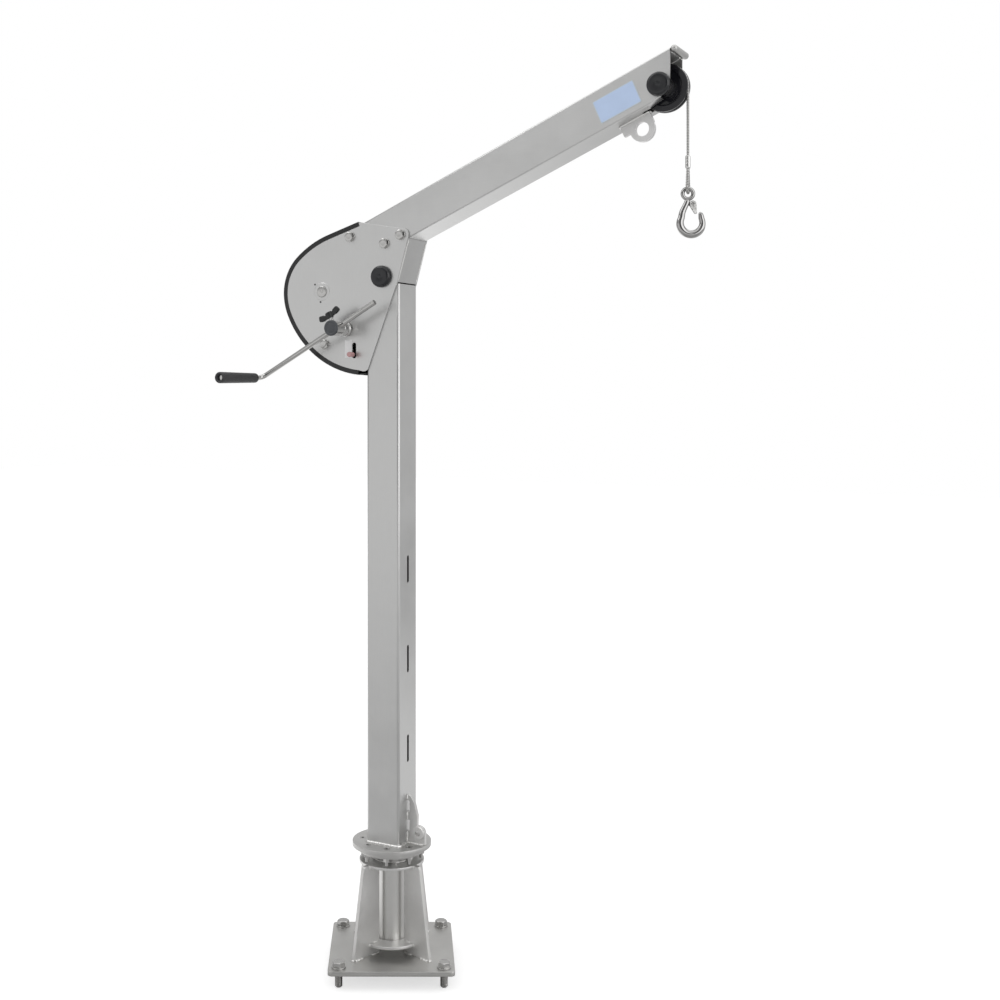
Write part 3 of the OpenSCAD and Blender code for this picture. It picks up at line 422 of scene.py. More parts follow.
def polished(name, tone, rough, scale=240):
    """Bright metal with faint clouds in its tone and gloss."""
    mat, tree, bsdf = new_material(name, Metallic=1.0)
    cloud = noise(tree, coords(tree), scale, 3, 0.6)
    tree.links.new(tint(tree, cloud, tuple(c * 0.9 for c in tone), tone), bsdf.inputs["Base Color"])
    tree.links.new(spread(tree, cloud, rough * 0.7, rough * 1.5), bsdf.inputs["Roughness"])
    bump(tree, bsdf, cloud, 0.08, 0.00002)
    return mat


def plastic(name, tone, rough, grain=1400, depth=0.00003, vary=0.25):
    """Plastic, rubber or paint: a fine grain under slow changes of tone and gloss."""
    mat, tree, bsdf = new_material(name)
    fine = noise(tree, coords(tree), grain, 2, 0.5)
    cloud = noise(tree, coords(tree), 30, 3, 0.6)
    tree.links.new(tint(tree, cloud, tuple(c * (1 - vary) for c in tone), tone), bsdf.inputs["Base Color"])
    tree.links.new(spread(tree, cloud, rough - 0.05, rough + 0.06), bsdf.inputs["Roughness"])
    bump(tree, bsdf, fine, 0.3, depth)
    return mat


STEEL = (0.60, 0.60, 0.595)
mast_mat = brushed("steel_mast", STEEL, 0.36)
boom_mat = brushed("steel_boom", STEEL, 0.36, (0.02, 1, 1), (0, TILT, 0))
plate_mat = brushed("steel_plate", (0.61, 0.61, 0.605), 0.34, (1, 1, 0.05), (0, 0.35, 0), 0.04, 700)
# gussets, rings and rib: a lighter copy of the flanges' blasted steel, painted light that offsets the shade falling
# between the gussets
foot_mat = blasted("steel_blasted_painted_light", (0.76, 0.755, 0.745), 0.42)
flange_mat = blasted("steel_flange", (0.57, 0.565, 0.555), 0.42)
pad_mat = blasted("steel_pad", (0.82, 0.815, 0.81), 0.42)
base_mat = blasted("steel_base", (0.575, 0.57, 0.555), 0.40, 1100)
stem_mat = brushed("steel_turned", (0.66, 0.655, 0.64), 0.32, (0.05, 0.05, 1), (0, 0, 0), 0.03, 1200, 0.000003)
bolt_mat = polished("steel_bolt", (0.54, 0.535, 0.525), 0.18)
bright_mat = polished("steel_bright", (0.66, 0.655, 0.645), 0.14)
rod_mat = polished("steel_rod", (0.52, 0.515, 0.505), 0.13, 60)
weld_mat = polished("weld", (0.86, 0.855, 0.84), 0.30, 500)
rope_mat = polished("rope_wire", (0.50, 0.495, 0.485), 0.26, 1800)
hook_mat = polished("hook_steel", (0.42, 0.415, 0.41), 0.11, 120)
latch_mat = polished("latch_steel", (0.78, 0.775, 0.76), 0.24)
gear_mat = polished("gear_steel", (0.30, 0.295, 0.28), 0.38)
black_mat = plastic("black_plastic", (0.014, 0.015, 0.015), 0.40)
cap_mat = plastic("cap_plastic", (0.012, 0.013, 0.016), 0.22)
gloss_mat = plastic("black_gloss", (0.014, 0.014, 0.018), 0.12, 300, 0.00001)
cover_mat = plastic("cover_plastic", (0.010, 0.010, 0.011), 0.25, 600)
grey_mat = plastic("grey_plastic", (0.075, 0.08, 0.088), 0.42)
rubber_mat = plastic("grip_rubber", (0.052, 0.052, 0.055), 0.62, 2200, 0.00008)
red_mat = plastic("lever_plastic", (0.64, 0.37, 0.37), 0.42)
white_mat = plastic("label_white", (0.92, 0.92, 0.92), 0.5, 500, 0.00001, 0.03)
blue_mat = plastic("label_blue", (0.58, 0.72, 0.98), 0.42, 500, 0.00001, 0.05)
border_mat = plastic("label_border", (0.62, 0.70, 0.78), 0.42, 500, 0.00001, 0.03)
dark_mat = plastic("dark_mark", (0.035, 0.035, 0.035), 0.6)

# CAD pieces that keep their shape
keep = {
    mast_mat: ["mast_tube"],
    boom_mat: ["boom_tube"],
    plate_mat: ["side_plate_front", "side_plate_back", "knee_plate"],
    # the lighter copy of the blasted steel, painted light against the shade between the gussets
    foot_mat: ["gusset_front", "gusset_right", "gusset_back", "gusset_left", "upper_ring", "lower_ring",
               "foot_rib"],
    flange_mat: ["stem_flange", "mast_flange", "tip_bar"],
    pad_mat: ["pad_eye"],
    base_mat: ["base_plate"],
    stem_mat: ["swivel_stem", "head_pin", "tip_axle", "plate_spacers", "drum_barrel"],
    bolt_mat: ["flange_screws", "flange_nuts", "anchor_washers", "lever_pin", "crank_shaft", "lock_lever",
               "crank_bushes", "swivel_bushes"],
    bright_mat: ["wing_screw"],
    rod_mat: ["crank_rod"],
    gear_mat: ["drum_gear", "pinion", "lock_wheel", "brake_discs"],
    rope_mat: ["rope_winding"],
    cover_mat: ["case_cover"],
    gloss_mat: ["tip_sheave"],
    white_mat: ["lock_plate"],
}
# Their edges are rounded by these widths
EDGE = {"mast_tube": 0.5, "boom_tube": 0.5, "base_plate": 0.8, "side_plate_front": 0.5, "side_plate_back": 0.5,
        "knee_plate": 0.5, "foot_rib": 0.8, "stem_flange": 0.8, "mast_flange": 0.8, "upper_ring": 0.7,
        "lower_ring": 0.7, "gusset_front": 0.8, "gusset_right": 0.8, "gusset_back": 0.8, "gusset_left": 0.8,
        "pad_eye": 1.8, "case_cover": 1.0, "swivel_bushes": 0.3, "tip_sheave": 0.5, "lock_plate": 0.15,
        "anchor_washers": 0.4, "tip_axle": 0.4, "plate_spacers": 0.4}
for mat, names in keep.items():
    for n in names:
        o = NODES[n]
        if o.material_slots:
            for s in o.material_slots:
                s.material = mat
        else:
            o.data.materials.append(mat)
for n, width in EDGE.items():
    o = NODES[n]
    w = o.modifiers.new("weld", "WELD")
    w.merge_threshold = 0.00001
    d = o.modifiers.new("flat", "DECIMATE")
    d.decimate_type = "DISSOLVE"
    d.angle_limit = math.radians(0.6)
    b = o.modifiers.new("edge", "BEVEL")
    b.width = width * MM
    b.segments = 2
    b.limit_method = "ANGLE"
    b.angle_limit = math.radians(40)
    b.harden_normals = True

# Rope: six strands laid round a core
def strands(path, binormal, phase, radius=ROPE_R + 0.2, sides=7, step=2.0):
    pts = resample(path, step)
    shape = Shape()
    rs, rc = radius / 3 * 1.03, radius * 2 / 3
    frames = []
    for i, p in enumerate(pts):
        t = (pts[min(i + 1, len(pts) - 1)] - pts[max(i - 1, 0)]).normalized()
        b = Vector(binormal)
        frames.append((p, t.cross(b).normalized(), b))
    for k in range(6):
        line, out = [], []
        for i, (p, n, b) in enumerate(frames):
            a = phase + TAU * (i * step / ROPE_LAY + k / 6)
            d = n * math.cos(a) + b * math.sin(a)
            line.append(p + d * rc)
            out.append(d)
        shape.tube(line, rs, sides, normal=out)
    shape.tube(pts, radius * 0.45, 6, normal=[f[1] for f in frames])
    return shape


span = math.hypot(TIP_X - DRUM[0], TIP_Z - DRUM[1])
rise = math.atan2(TIP_Z - DRUM[1], TIP_X - DRUM[0]) + math.asin((SHEAVE_PITCH - DRUM_PITCH) / span)
run = [(DRUM[0] - DRUM_PITCH * math.sin(rise), 0, DRUM[1] + DRUM_PITCH * math.cos(rise))]
run += arc_xz(TIP_X, TIP_Z, SHEAVE_PITCH, 90 + math.degrees(rise), 0, 40)
run_l = sum((Vector(b) - Vector(a)).length for a, b in zip(run, run[1:]))
strands(run, (0, 1, 0), 0).make("rope_over_sheave", "column", rope_mat, "wire_rope", ["rope_run"])
drop = [(ROPE_X, 0, TIP_Z), (ROPE_X, 0, FERR_Z - 0.5)]
phase = TAU * run_l / ROPE_LAY
rope = strands(drop, (0, 1, 0), phase).make(
    "rope_to_hook", None, rope_mat, "wire_rope", ["rope_drop"],
    blend=("column", "hoist", (ROPE_X * MM, 0, TIP_Z * MM), (ROPE_X * MM, 0, FERR_Z * MM)))

# Rope eye round its thimble, and the pressed ferrule. The hook's plane is turned about the rope, and
# the eye's plane is turned 22 degrees off square to it.
side = Vector((math.cos(HOOK_TURN + math.pi / 2), math.sin(HOOK_TURN + math.pi / 2), 0))
across = Vector((math.cos(HOOK_TURN), math.sin(HOOK_TURN), 0))
EYE_TURN = HOOK_TURN + math.pi / 2 - math.radians(22)
eye_side = Vector((math.cos(EYE_TURN), math.sin(EYE_TURN), 0))
eye_across = Vector((math.sin(EYE_TURN), -math.cos(EYE_TURN), 0))


def at_eye(u, z):
    return Vector((ROPE_X, 0, z)) + eye_side * u


# The eye's two legs leave the ferrule at top_u and meet the loop where they touch it
top_u, top_h = 2.55, FERR_Z - FERR_L - LOOP_Z
lean = math.atan2(top_h, top_u) - math.acos(LOOP_R / math.hypot(top_u, top_h))


def eye_path(r):
    pts = [at_eye(-top_u, LOOP_Z + top_h + 1)]
    for i in range(33):
        a = math.pi - lean + (math.pi + 2 * lean) * i / 32
        pts.append(at_eye(r * math.cos(a), LOOP_Z + r * math.sin(a)))
    pts.append(at_eye(top_u, LOOP_Z + top_h + 1))
    return pts


eye_piece = strands(eye_path(LOOP_R), tuple(eye_across), 0.4).make(
    "rope_eye_splice", "hoist", rope_mat, "wire_rope", ["rope_eye"])

thimble = Shape()
rim = [(-1.0, -2.9), (0.6, -3.1), (1.4, -2.5), (0.2, -1.5), (-0.6, 0), (0.2, 1.5), (1.4, 2.5), (0.6, 3.1),
       (-1.0, 2.9), (-1.9, 1.5), (-2.2, 0), (-1.9, -1.5)]
path = []
for i in range(41):
    a = math.pi - lean - 0.25 + (math.pi + 2 * lean + 0.5) * i / 40
    r = LOOP_R - ROPE_R + 0.25
    path.append(at_eye(r * math.cos(a), LOOP_Z + r * math.sin(a)))
outward = [(p - at_eye(0, LOOP_Z)).normalized() for p in path]
small = [(x * 0.62, y * 0.54) for x, y in rim]
thimble.tube(path, 1.0, 12, normal=outward, shape=small)
thimble_piece = thimble.make("thimble_channel", "hoist", bright_mat, "stainless_polished", ["thimble"])

ferrule = Shape()
prof = [(0, 0), (2.8, 0), (3.9, 0.8), (4.6, 2.4), (4.9, 4.5)]
for k in range(3):
    h = 5.5 + k * 6
    prof += [(4.95, h), (4.95, h + 4.4), (4.8, h + 4.9), (4.8, h + 5.5)]
prof += [(4.9, 23.6), (4.6, 25.2), (3.8, 26.4), (2.9, 27), (0, 27)]
ferrule.lathe(prof, (ROPE_X, 0, FERR_Z - FERR_L), (0, 0, 1), 40)
ferrule_piece = ferrule.make("ferrule_pressed", "hoist", bright_mat, "stainless_polished", ["rope_ferrule"])
[(p[0] * MM, 0, p[2] * MM) for p in resample(drop, 4.0)]

# Hook, drawn in its own plane: u to the right, v up from the eye's centre
def at_hook(u, v, w=0.0):
    return Vector((ROPE_X, 0, EYE_Z + v)) + across * u + side * w


hook = Shape()
ring = [at_hook(EYE_RING * math.cos(TAU * i / 48), EYE_RING * math.sin(TAU * i / 48)) for i in range(48)]
hook.tube(ring, (EYE_RING_TUBE, 4.0), 16, normal=tuple(side), closed=True)
# shank, bowl and tip: each point in the plane, with the section's two radii there
line = [((-0.5, -10.5), (4.9, 4.6)), ((-1.6, -15.5), (5.2, 4.7)), ((-4.2, -22), (5.5, 4.9)),
        ((-8.0, -29.5), (5.9, 5.2)), ((-11.6, -37.5), (6.3, 5.6))]
for i in range(25):
    a = 150 + 236 * i / 24
    k = i / 24
    deep = 6.6 + 1.5 * math.sin(math.pi * min(1, k * 1.15)) - 0.9 * max(0, k - 0.72) / 0.28
    wide = 5.9 + 1.0 * math.sin(math.pi * min(1, k * 1.2))
    r = BOWL_R + 0.4 * math.sin(math.pi * k)
    line.append(((BOWL_U + r * math.cos(math.radians(a)), BOWL_V + r * math.sin(math.radians(a))), (deep, wide)))
line += [((25.6, -42.2), (5.2, 5.2)), ((24.3, -38.6), (4.4, 4.8)), ((23.2, -36.4), (3.0, 3.6)),
         ((22.7, -35.3), (1.2, 1.6))]
hook.tube([at_hook(*p) for p, _ in line], [(r[1], r[0]) for _, r in line], 20, normal=tuple(side))
ear = [(0, -13.5), (9, -14.6), (13.1, -16.4), (14.0, -19.5), (13.0, -22.8), (9.5, -24.6), (-3, -25.5)]
hook.plate(ear, lambda u, v, t: at_hook(u, v, t), -1.5, 1.5)
hook.make("hook_forged", "hook", hook_mat, "stainless_polished", ["lifting_hook"], subdivide=1)

pin = Shape()
pin.lathe([(0, -5.2), (2.6, -5.2), (3.0, -4.7), (3.0, -3.7), (2.0, -3.7), (2.0, 3.7), (3.0, 3.7), (3.0, 4.7),
           (2.6, 5.2), (0, 5.2)], at_hook(*LATCH_AT), side, 24)
pin.make("latch_rivet", "hook", bright_mat, "stainless_polished")

# Latch: a folded channel from its rivet to a point short of the hook's tip
tip = (BOWL_U + BOWL_R * math.cos(math.radians(35)) - 8.84, BOWL_V + BOWL_R * math.sin(math.radians(35)) + 5.5)
base = LATCH_AT
length = math.hypot(tip[0] - base[0], tip[1] - base[1])
d = ((tip[0] - base[0]) / length, (tip[1] - base[1]) / length)
nrm = (-d[1], d[0])
latch = Shape()
rows = [(-6.3, 2.4, 3.3, 1.6), (-5.2, 4.2, 3.4, 3.8), (-3, 5.8, 3.4, 5.6), (0, 6.4, 3.4, 6.4), (4, 6.0, 3.3, 6.0),
        (8, 5.0, 3.2, 5.2), (12, 3.9, 3.0, 4.1), (16, 2.9, 2.8, 3.0), (length - 1, 2.1, 2.3, 2.1),
        (length, 1.5, 1.7, 1.6)]
sect = []
for s, top, half_w, low in rows:
    # an open channel, its web on the side that faces away from the hook's body
    c = [(half_w, -low), (half_w, top - 0.8), (half_w - 0.6, top), (-half_w + 0.6, top), (-half_w, top - 0.8),
         (-half_w, -low), (-half_w + 1.1, -low), (-half_w + 1.1, top - 1.3), (half_w - 1.1, top - 1.3),
         (half_w - 1.1, -low)]
    sect.append([at_hook(base[0] + d[0] * s + nrm[0] * q, base[1] + d[1] * s + nrm[1] * q, w) for w, q in c])
verts = [p for row in sect for p in row]
k = len(sect[0])
faces = [(i * k + j, (i + 1) * k + j, (i + 1) * k + (j + 1) % k, i * k + (j + 1) % k)
         for i in range(len(sect) - 1) for j in range(k)]
faces += [tuple(range(k)), tuple(reversed(range((len(sect) - 1) * k, len(sect) * k)))]
latch.add(verts, faces)
latch.make("latch_channel", "latch", latch_mat, "stainless_polished", ["hook_latch"], sharp=30)

# Round black caps on the head pin and the tip axle
CAP = [(0, 11.6), (4.2, 11.6), (4.5, 11.5), (5.1, 11.5), (5.4, 11.6), (16.6, 11.8), (17.8, 11.7), (19.6, 11.1),
       (21.2, 9.9), (22.4, 8.3), (23.2, 6.4), (23.5, 4.6), (23.5, 1.0), (23.1, 0.3), (22.5, 0), (0, 0)]
caps = Shape()
for x, z, out in ((0, PIN_Z, FACE), (TIP_X, TIP_Z, HALF)):
    for s in (-1, 1):
        caps.lathe(CAP, (x, s * out, z), (0, s, 0), 72)
caps.make("axle_caps", "column", cap_mat, "black_plastic", ["pin_caps"])

# Bolts through the side plates, with washers in front and nuts behind
heads = Shape()
nuts = Shape()
WASHER = [(6.6, 0), (11.2, 0), (11.5, 0.3), (11.5, 1.4), (11.1, 1.8), (6.6, 1.8)]
BOLT_AF = 18.4
SHANK = [(6, 0), (6, 2 * FACE + 11), (5, 2 * FACE + 12), (0, 2 * FACE + 12)]
for i, (x, z) in enumerate(BOLTS):
    heads.lathe(WASHER, (x, -FACE, z), (0, -1, 0), 40)
    heads.hexhead((x, -FACE - 1.7, z), (0, -1, 0), BOLT_AF, 5.8, turn=0.35 + i * 0.9, dome=-0.35)
    heads.lathe(SHANK, (x, -FACE, z), (0, 1, 0), 24)
    nuts.lathe(WASHER, (x, FACE, z), (0, 1, 0), 40)
    nuts.hexhead((x, FACE + 1.7, z), (0, 1, 0), BOLT_AF, 8.0, turn=0.2 + i * 1.1)
heads.make("plate_bolt_heads", "column", bolt_mat, "stainless_polished", ["plate_bolts"])
nuts.make("plate_bolt_nuts", "column", bolt_mat, "stainless_polished", ["plate_nuts"])

# Drum axle with its stamped washer at both plates
axle = Shape()
for s in (-1, 1):
    axle.lathe([(0, 2.4), (2.2, 2.4), (2.8, 1.9), (3.4, 2.4), (10.6, 2.4), (11.7, 1.9), (12.1, 0.9), (12.2, 0),
                (0, 0)], (DRUM[0], s * FACE, DRUM[1]), (0, s, 0), 64)
axle.lathe([(0, 0), (12, 0), (12, 2 * FACE), (0, 2 * FACE)], (DRUM[0], -FACE, DRUM[1]), (0, 1, 0), 40)
axle.make("drum_axle_ends", "column", bolt_mat, "stainless_polished", ["drum_axle"])
rings = Shape()
for s in (-1, 1):
    rings.lathe([(12.6, 0), (12.8, 0.25), (17.6, 0.4), (18.6, 0.4), (19.6, 0.1), (19.7, 0)],
                (DRUM[0], s * FACE, DRUM[1]), (0, s, 0), 64)
rings.make("drum_axle_rings", "column", plate_mat, "stainless_satin")

# Two small punched dots near it
marks = Shape()
for x, z, r in ((-169.2, 1446.5, 2.1), (-154.8, 1407.6, 2.1)):
    marks.lathe([(0, 0.35), (r * 0.7, 0.35), (r, 0.12), (r, -0.2), (0, -0.2)], (x, -FACE, z), (0, -1, 0), 20)
marks.make("plate_dots", "column", dark_mat, "gear_steel")

# Anchor bolts: chamfered heads and threaded ends
anchors = Shape()
for sx in (-1, 1):
    for sy in (-1, 1):
        q = Matrix.Rotation(FOOT, 3, "Z") @ Vector((sx * ANCHOR, sy * ANCHOR, 0))
        anchors.hexhead((q.x, q.y, 13), (0, 0, 1), 23.6, 9.8, turn=0.4 * sx + 0.7 * sy, dome=-0.4)
        prof = [(0, -ANCHOR_DOWN), (5.6, -ANCHOR_DOWN), (7.4, -28.2)]
        z = -28.0
        while z < -0.4:
            prof += [(8.0, z + 0.5), (8.0, z + 0.75), (7.05, z + 1.5), (7.05, z + 1.75)]
            z += 2.0
        prof += [(8.0, 0), (8.0, 13), (0, 13)]
        anchors.lathe(prof, (q.x, q.y, 0), (0, 0, 1), 28)
anchors.make("anchor_bolt_set", "foot", bolt_mat, "stainless_polished", ["anchor_bolts"], sharp=50)

# Crank: hub, its cap, wing screw and grip
HUB_L = 60
hub = Shape()
hub.lathe([(10, 3), (15.4, 3), (16.6, 3.6), (17.0, 4.4), (17.0, 8.6), (16.6, 9.4), (15.8, 9.8), (15.6, 10.6),
           (16, 11.4), (16, 28), (15.6, 28.4), (15.6, 29.2), (16, 29.6), (16, HUB_L - 0.8), (15.3, HUB_L),
           (0, HUB_L)], (CRANK[0], -FACE, CRANK[1]), (0, -1, 0), 64)
hub.make("crank_hub_turned", "crank", bright_mat, "stainless_polished", ["crank_hub"])
cap = Shape()
cap.lathe([(0, 3.6), (9.8, 3.7), (10.4, 3.35), (11.3, 3.35), (11.9, 3.8), (14.9, 3.8), (16.3, 3.2), (17.0, 2.0),
           (17.0, 0), (0, 0)], (CRANK[0], -FACE - HUB_L, CRANK[1]), (0, -1, 0), 64)
cap.make("crank_hub_cap", "crank", grey_mat, "black_plastic", ["hub_cap"])

along = Vector((math.cos(CRANK_A), 0, math.sin(CRANK_A)))
out = Vector((-math.sin(CRANK_A), 0, math.cos(CRANK_A)))
seat = Vector((CRANK[0], ROD_Y, CRANK[1]))


def at_rod(u, w):
    """A point in the rod's plane: u along the rod from the hub, w square to it."""
    return seat + along * u + out * w


# Wing knob: a turned middle and two wings with a boxy section, stepped as moulded ribs
wing = Shape()
w0 = 25.6
boxy = []
for i in range(20):
    c, d = math.cos(TAU * i / 20), math.sin(TAU * i / 20)
    boxy.append((math.copysign(abs(c) ** 0.45, c), math.copysign(abs(d) ** 0.45, d)))
wing.lathe([(0, 0), (6.4, 0), (7.0, 0.8), (7.4, 4), (8.2, 9), (8.6, 11.6), (8.0, 12.8), (6.6, 13.4), (4.6, 13.5),
            (4.4, 12.9), (0, 12.9)], at_rod(0, w0), out, 40)
for s in (-1, 1):
    path, radii = [], []
    for i in range(13):
        k = i / 12
        u = s * (2 + 24.6 * k)
        w = w0 + 5.5 + 5.6 * k ** 1.6
        path.append(at_rod(u, w))
        swell = 4.4 + (1.9 if k > 0.45 else 0) + (0.5 if i % 2 else 0)
        end = 1 - 0.25 * max(0, (k - 0.88) / 0.12)
        radii.append((swell * end, (3.8 + 0.6 * k) * end))
    wing.tube(path, radii, 20, normal=tuple(out), shape=boxy)
wing.make("wing_knob_moulded", "clamp_screw", black_mat, "black_plastic", ["wing_knob"], subdivide=1)

# Grip: slightly thicker towards its free end
grip = Shape()
r0, r1, L = 10.5, 12.0, GRIP_L
prof = [(5.9, 0.3), (8.2, 0), (9.6, 0.9), (10.4, 2.4)]
for i in range(1, 40):
    h = 3 + (L - 12) * i / 40
    base_r = r0 + (r1 - r0) * min(1, (h / (L - 14)))
    prof.append((base_r + 0.14 * math.sin(i * 1.3) * 0.4, h))
prof += [(12.0, L - 9), (12.0, L - 2.4), (11.4, L - 0.7), (10.4, L), (8.6, L), (7.6, L - 0.8), (6.6, L - 2.0),
         (6.2, L - 6), (5.9, L - 16)]
gx, gz = CRANK[0] - CRANK_R * math.cos(CRANK_A), CRANK[1] - CRANK_R * math.sin(CRANK_A)
grip.lathe(prof, (gx, GRIP_Y, gz), (0, -1, 0), 56)
grip.make("grip_sleeve", "grip", rubber_mat, "grip_rubber", ["crank_grip"])

# Lock lever's button
ex, ez = LEVER[0] + LEVER_L * math.cos(LEVER_REST), LEVER[1] + LEVER_L * math.sin(LEVER_REST)
button = Shape()
button.lathe([(3.0, 0.2), (4.6, 0), (5.0, 0.6), (5.0, 4.4), (4.4, 5.0), (4.4, 5.8), (5.0, 6.4), (5.0, 8.6), (4.4, 9.2),
              (4.4, 10.0), (5.2, 10.8), (5.6, 12.6), (5.6, 15.8), (4.9, 17.8), (3.2, 18.8), (0, 19.0)],
             (ex, -FACE - 5, ez), (0, -1, 0), 40)
button.make("lever_button", "lever", red_mat, "lever_plastic", ["lever_cap"])

# Blank rating plate on the boom, in its own slightly raised border
cx = TIP_X - 85
centre = Vector((cx, -HALF, under(cx) + BOOM_H / math.cos(TILT) / 2 - 4))
ax, az = Vector((math.cos(TILT), 0, math.sin(TILT))), Vector((-math.sin(TILT), 0, math.cos(TILT)))


def on_boom(u, v, t):
    return centre + ax * u + az * v + Vector((0, -t, 0))


sign = Shape()
sign.plate(rounded_rect(90, 48, 3), on_boom, 0, 0.62, 0.2)
sign.make("rating_plate_blank", "column", border_mat, "plate_blue", ["rating_plate"])
field = Shape()
field.plate(rounded_rect(86.4, 44.4, 2), on_boom, 0.5, 0.8, 0.1)
field.make("rating_plate_field", "column", blue_mat, "plate_blue")

# Welds, on the foot and on the column
foot_w, col_w = Shape(), Shape()


def turned(x, y, z, a):
    """A point turned by the angle a about the slewing axis."""
    return (x * math.cos(a) - y * math.sin(a), x * math.sin(a) + y * math.cos(a), z)


# each gusset: to the base plate, to both rings, and round its foot
for k, turn in enumerate((225, 315, 45, 135)):
    a = FOOT + math.radians(turn)
    for s in (-1, 1):
        y = s * 4.6
        foot_w.bead([turned(44, y, 10.8, a), turned(64, y, 10.8, a)], 5.0, seed=k + s)
        foot_w.bead([turned(90, y, 10.8, a), turned(112, y, 10.8, a)], 5.0, seed=2 * k + s)
        for z in (28.2, 35.8, 195.2):
            foot_w.bead([turned(46, y, z, a), turned(60, y, z, a)], 3.6, seed=k + z)
        foot_w.bead([turned(70.6, y, 29, a), turned(70.6, y, 35, a)], 3.8, seed=3 * k + s)
        foot_w.bead([turned(70.6, y, 194, a), turned(70.6, y, 202, a)], 3.8, seed=4 * k + s)
    foot_w.bead([turned(115.6, -4, 10.8, a), turned(115.8, 4, 10.8, a)], 4.6, seed=k)
foot_w.make("foot_welds", "foot", weld_mat, "stainless_satin", sharp=60)

# round the mast's foot, along the rib, and up the knee plate
ring_path = [(x, y, MAST_Z + 0.9) for x, y in rounded_rect(82, 82, 7, 8)]
col_w.bead(ring_path + ring_path[:1], 5.2, seed=1.0)
for z0, z1 in ((MAST_Z + 3, MAST_Z + 25), (MAST_Z + 50.5, MAST_Z + 66.5), (MAST_Z + 92, MAST_Z + 102)):
    for s in (-1, 1):
        col_w.bead([(40.8, s * 4.8, z0), (40.8, s * 4.8, z1)], 4.4, seed=z0)
for y, seed in ((-4.8, 2), (4.8, 3)):
    col_w.bead([(43, y, MAST_Z + 0.9), (80, y, MAST_Z + 0.9)], 4.2, seed=seed)
for s in (-1, 1):
    col_w.bead([(37.8, s * 39.4, MAST_TOP + 6), (62.5, s * 39.4, MAST_TOP + 90)], 3.0, seed=4 + s)
# pad eye: a bead along both sides of the plate and across its ends
c0 = Vector((PAD_EYE_X, 0, under(PAD_EYE_X)))


def on_underside(u, y):
    return c0 + ax * u + Vector((0, y, 0)) - az * 1.2


for s in (-1, 1):
    col_w.bead([on_underside(-50, s * 6.2), on_underside(15, s * 6.2)], 5.4, seed=9 + s)
for u in (-51, 16.2):
    col_w.bead([on_underside(u, -5), on_underside(u, 5)], 4.4, seed=u)
# guard bar: short beads at the boom's end
bar_x, bar_z = BOOM_END, under(BOOM_END) + BOOM_H / math.cos(TILT) - 1.5
for y in (-31, -18, 18, 31):
    col_w.bead([(bar_x + 1.0, y - 5, bar_z - 6.4), (bar_x + 1.0, y + 5, bar_z - 6.4)], 3.6, seed=y)
# the stem's collar, above and below
for z in (205.8, 220.8):
    col_w.bead([turned(42.2, 0, z, k * math.pi / 18) for k in range(37)], 1.4, seed=z)
col_w.make("column_welds", "column", weld_mat, "stainless_satin", sharp=60)

# Earthing boss on the rib: a short round stud
boss = Shape()
boss.lathe([(0, 5.6), (5.2, 5.6), (6.2, 5.2), (6.6, 4.4), (12.6, 4.4), (13.4, 3.6), (13.5, 0), (0, 0)],
           (68, -4, MAST_Z + 25), (0, -1, 0), 48)
boss.make("rib_boss", "column", bolt_mat, "stainless_satin")

# Floor and light
def ramp(tree, value, a, b, low, high):
    """A smooth step from low to high as the value goes from a to b."""
    n = tree.nodes.new("ShaderNodeMapRange")
    n.interpolation_type = "SMOOTHSTEP"
    for key, v in (("From Min", a), ("From Max", b), ("To Min", low), ("To Max", high)):
        n.inputs[key].default_value = v
    tree.links.new(value, n.inputs["Value"])
    return n.outputs["Result"]


def maths(tree, operation, a, b):
    n = tree.nodes.new("ShaderNodeMath")
    n.operation = operation
    for i, v in enumerate((a, b)):
        if isinstance(v, (int, float)):
            n.inputs[i].default_value = v
        else:
            tree.links.new(v, n.inputs[i])
    return n.outputs["Value"]


def seen(tree):
    """1 for rays from the camera, and for those that metal or clear pieces send on."""
    path = tree.nodes.new("ShaderNodeLightPath")
    return path.outputs["Is Camera Ray"], maths(
        tree, "MAXIMUM", path.outputs["Is Glossy Ray"], path.outputs["Is Transmission Ray"])


floor_mat, tree, bsdf = new_material("floor_paper", Roughness=0.9)
cloud = noise(tree, coords(tree), 1.5, 2, 0.5)
tree.links.new(tint(tree, cloud, (0.60, 0.60, 0.60), (0.62, 0.62, 0.62)), bsdf.inputs["Base Color"])
bsdf.inputs["Specular IOR Level"].default_value = 0.1
camera_ray, mirror_ray = seen(tree)
place = tree.nodes.new("ShaderNodeSeparateXYZ")
tree.links.new(tree.nodes.new("ShaderNodeTexCoord").outputs["Object"], place.inputs["Vector"])
floor_x, floor_y = place.outputs["X"], place.outputs["Y"]
# white to the camera; metal sees it lit behind, beside and far in front of the foot
behind = maths(tree, "MULTIPLY", ramp(tree, floor_y, 0.1, 1.1, 0.0, 0.42), ramp(tree, floor_y, 1.4, 4.0, 1, 0.15))
beside = maths(tree, "MULTIPLY", ramp(tree, floor_x, -0.55, -0.1, 0.62, 0), ramp(tree, floor_y, -0.8, -0.3, 0, 1))
front = ramp(tree, floor_y, -4.0, -1.2, 0.40, 0)
lit = maths(tree, "ADD", behind, maths(tree, "ADD", beside, front))
glow = maths(tree, "ADD", maths(tree, "MULTIPLY", camera_ray, 0.62), maths(tree, "MULTIPLY", mirror_ray, lit))
bsdf.inputs["Emission Color"].default_value = (1, 1, 1, 1)
tree.links.new(glow, bsdf.inputs["Emission Strength"])
FLOOR_Z, FLOOR_R = -0.0302, 14
m = bpy.data.meshes.new("floor")
m.from_pydata([(x * FLOOR_R, y * FLOOR_R, FLOOR_Z) for y in (-1, 1) for x in (-1, 1)], [], [(0, 1, 3, 2)])
m.polygons[0].use_smooth = True
m.materials.append(floor_mat)
o = bpy.data.objects.new("floor", m)
bpy.context.scene.collection.objects.link(o)

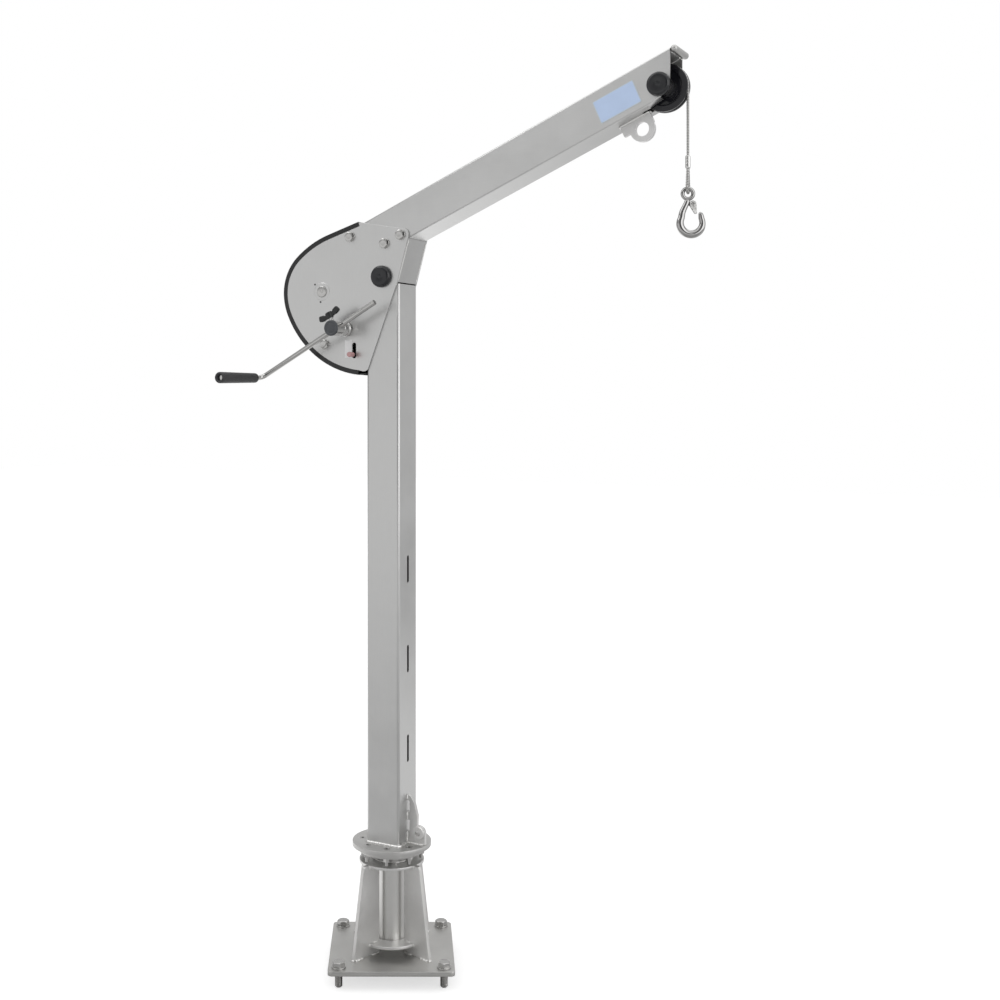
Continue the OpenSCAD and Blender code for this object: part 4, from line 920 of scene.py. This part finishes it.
# Studio: white to the camera; metal sees soft boxes and the darker room between them
world = bpy.data.worlds.new("studio")
bpy.context.scene.world = world
world.use_nodes = True
tree = world.node_tree
direction = tree.nodes.new("ShaderNodeTexCoord").outputs["Generated"]


def toward(x, y, z):
    """1 in this direction, 0 square to it."""
    n = tree.nodes.new("ShaderNodeVectorMath")
    n.operation = "DOT_PRODUCT"
    n.inputs[1].default_value = Vector((x, y, z)).normalized()
    tree.links.new(direction, n.inputs[0])
    return n.outputs["Value"]


ROOM = 0.72
height = toward(0, 0, 1)
left_box = maths(tree, "MULTIPLY", ramp(tree, toward(-0.49, -0.87, 0.0), 0.55, 0.93, 0, 0.34),
                 ramp(tree, height, 0.04, 0.30, 1, -0.3))
top_box = ramp(tree, height, 0.62, 0.85, 0, 0.75)
right_box = ramp(tree, toward(0.96, -0.25, 0.05), 0.72, 0.88, 0, 1.0)
back_wall = ramp(tree, toward(0.2, 0.97, 0.0), 0.2, 0.9, 0, 0.08)
room = maths(tree, "ADD", maths(tree, "ADD", left_box, top_box), maths(tree, "ADD", right_box, back_wall))
room = maths(tree, "ADD", room, 0.58)
# darker where the camera stands, and at the left
room = maths(tree, "MULTIPLY", room, ramp(tree, toward(0.42, -0.90, 0.12), 0.86, 0.96, 1, 0.2))
room = maths(tree, "MULTIPLY", room, ramp(tree, toward(-0.98, 0.12, 0.05), 0.82, 0.96, 1, 0.6))
camera_ray, mirror_ray = seen(tree)
level = maths(tree, "ADD", maths(tree, "MULTIPLY", mirror_ray, maths(tree, "SUBTRACT", room, ROOM)), ROOM)
level = maths(tree, "MAXIMUM", level, camera_ray)
tree.links.new(level, tree.nodes["Background"].inputs["Strength"])
tree.nodes["Background"].inputs["Color"].default_value = (1.0, 1.0, 1.0, 1)


def area(name, place, size, power):
    """An area light that looks at the crane's middle."""
    data = bpy.data.lights.new(name, "AREA")
    data.shape = "RECTANGLE"
    data.size, data.size_y = size
    data.energy = power
    o = bpy.data.objects.new(name, data)
    bpy.context.scene.collection.objects.link(o)
    o.location = place
    o.rotation_euler = (Vector((0, 0, 1.0)) - Vector(place)).to_track_quat("-Z", "Y").to_euler()


area("key", (-2.2, -2.4, 4.4), (2.2, 2.4), 30)
area("fill", (3.6, -1.6, 2.2), (2.0, 2.4), 10)
area("back", (1.2, 2.6, 4.2), (2.4, 2.0), 10)
bpy.context.scene.view_settings.view_transform = "Standard"

bpy.context.view_layer.update()
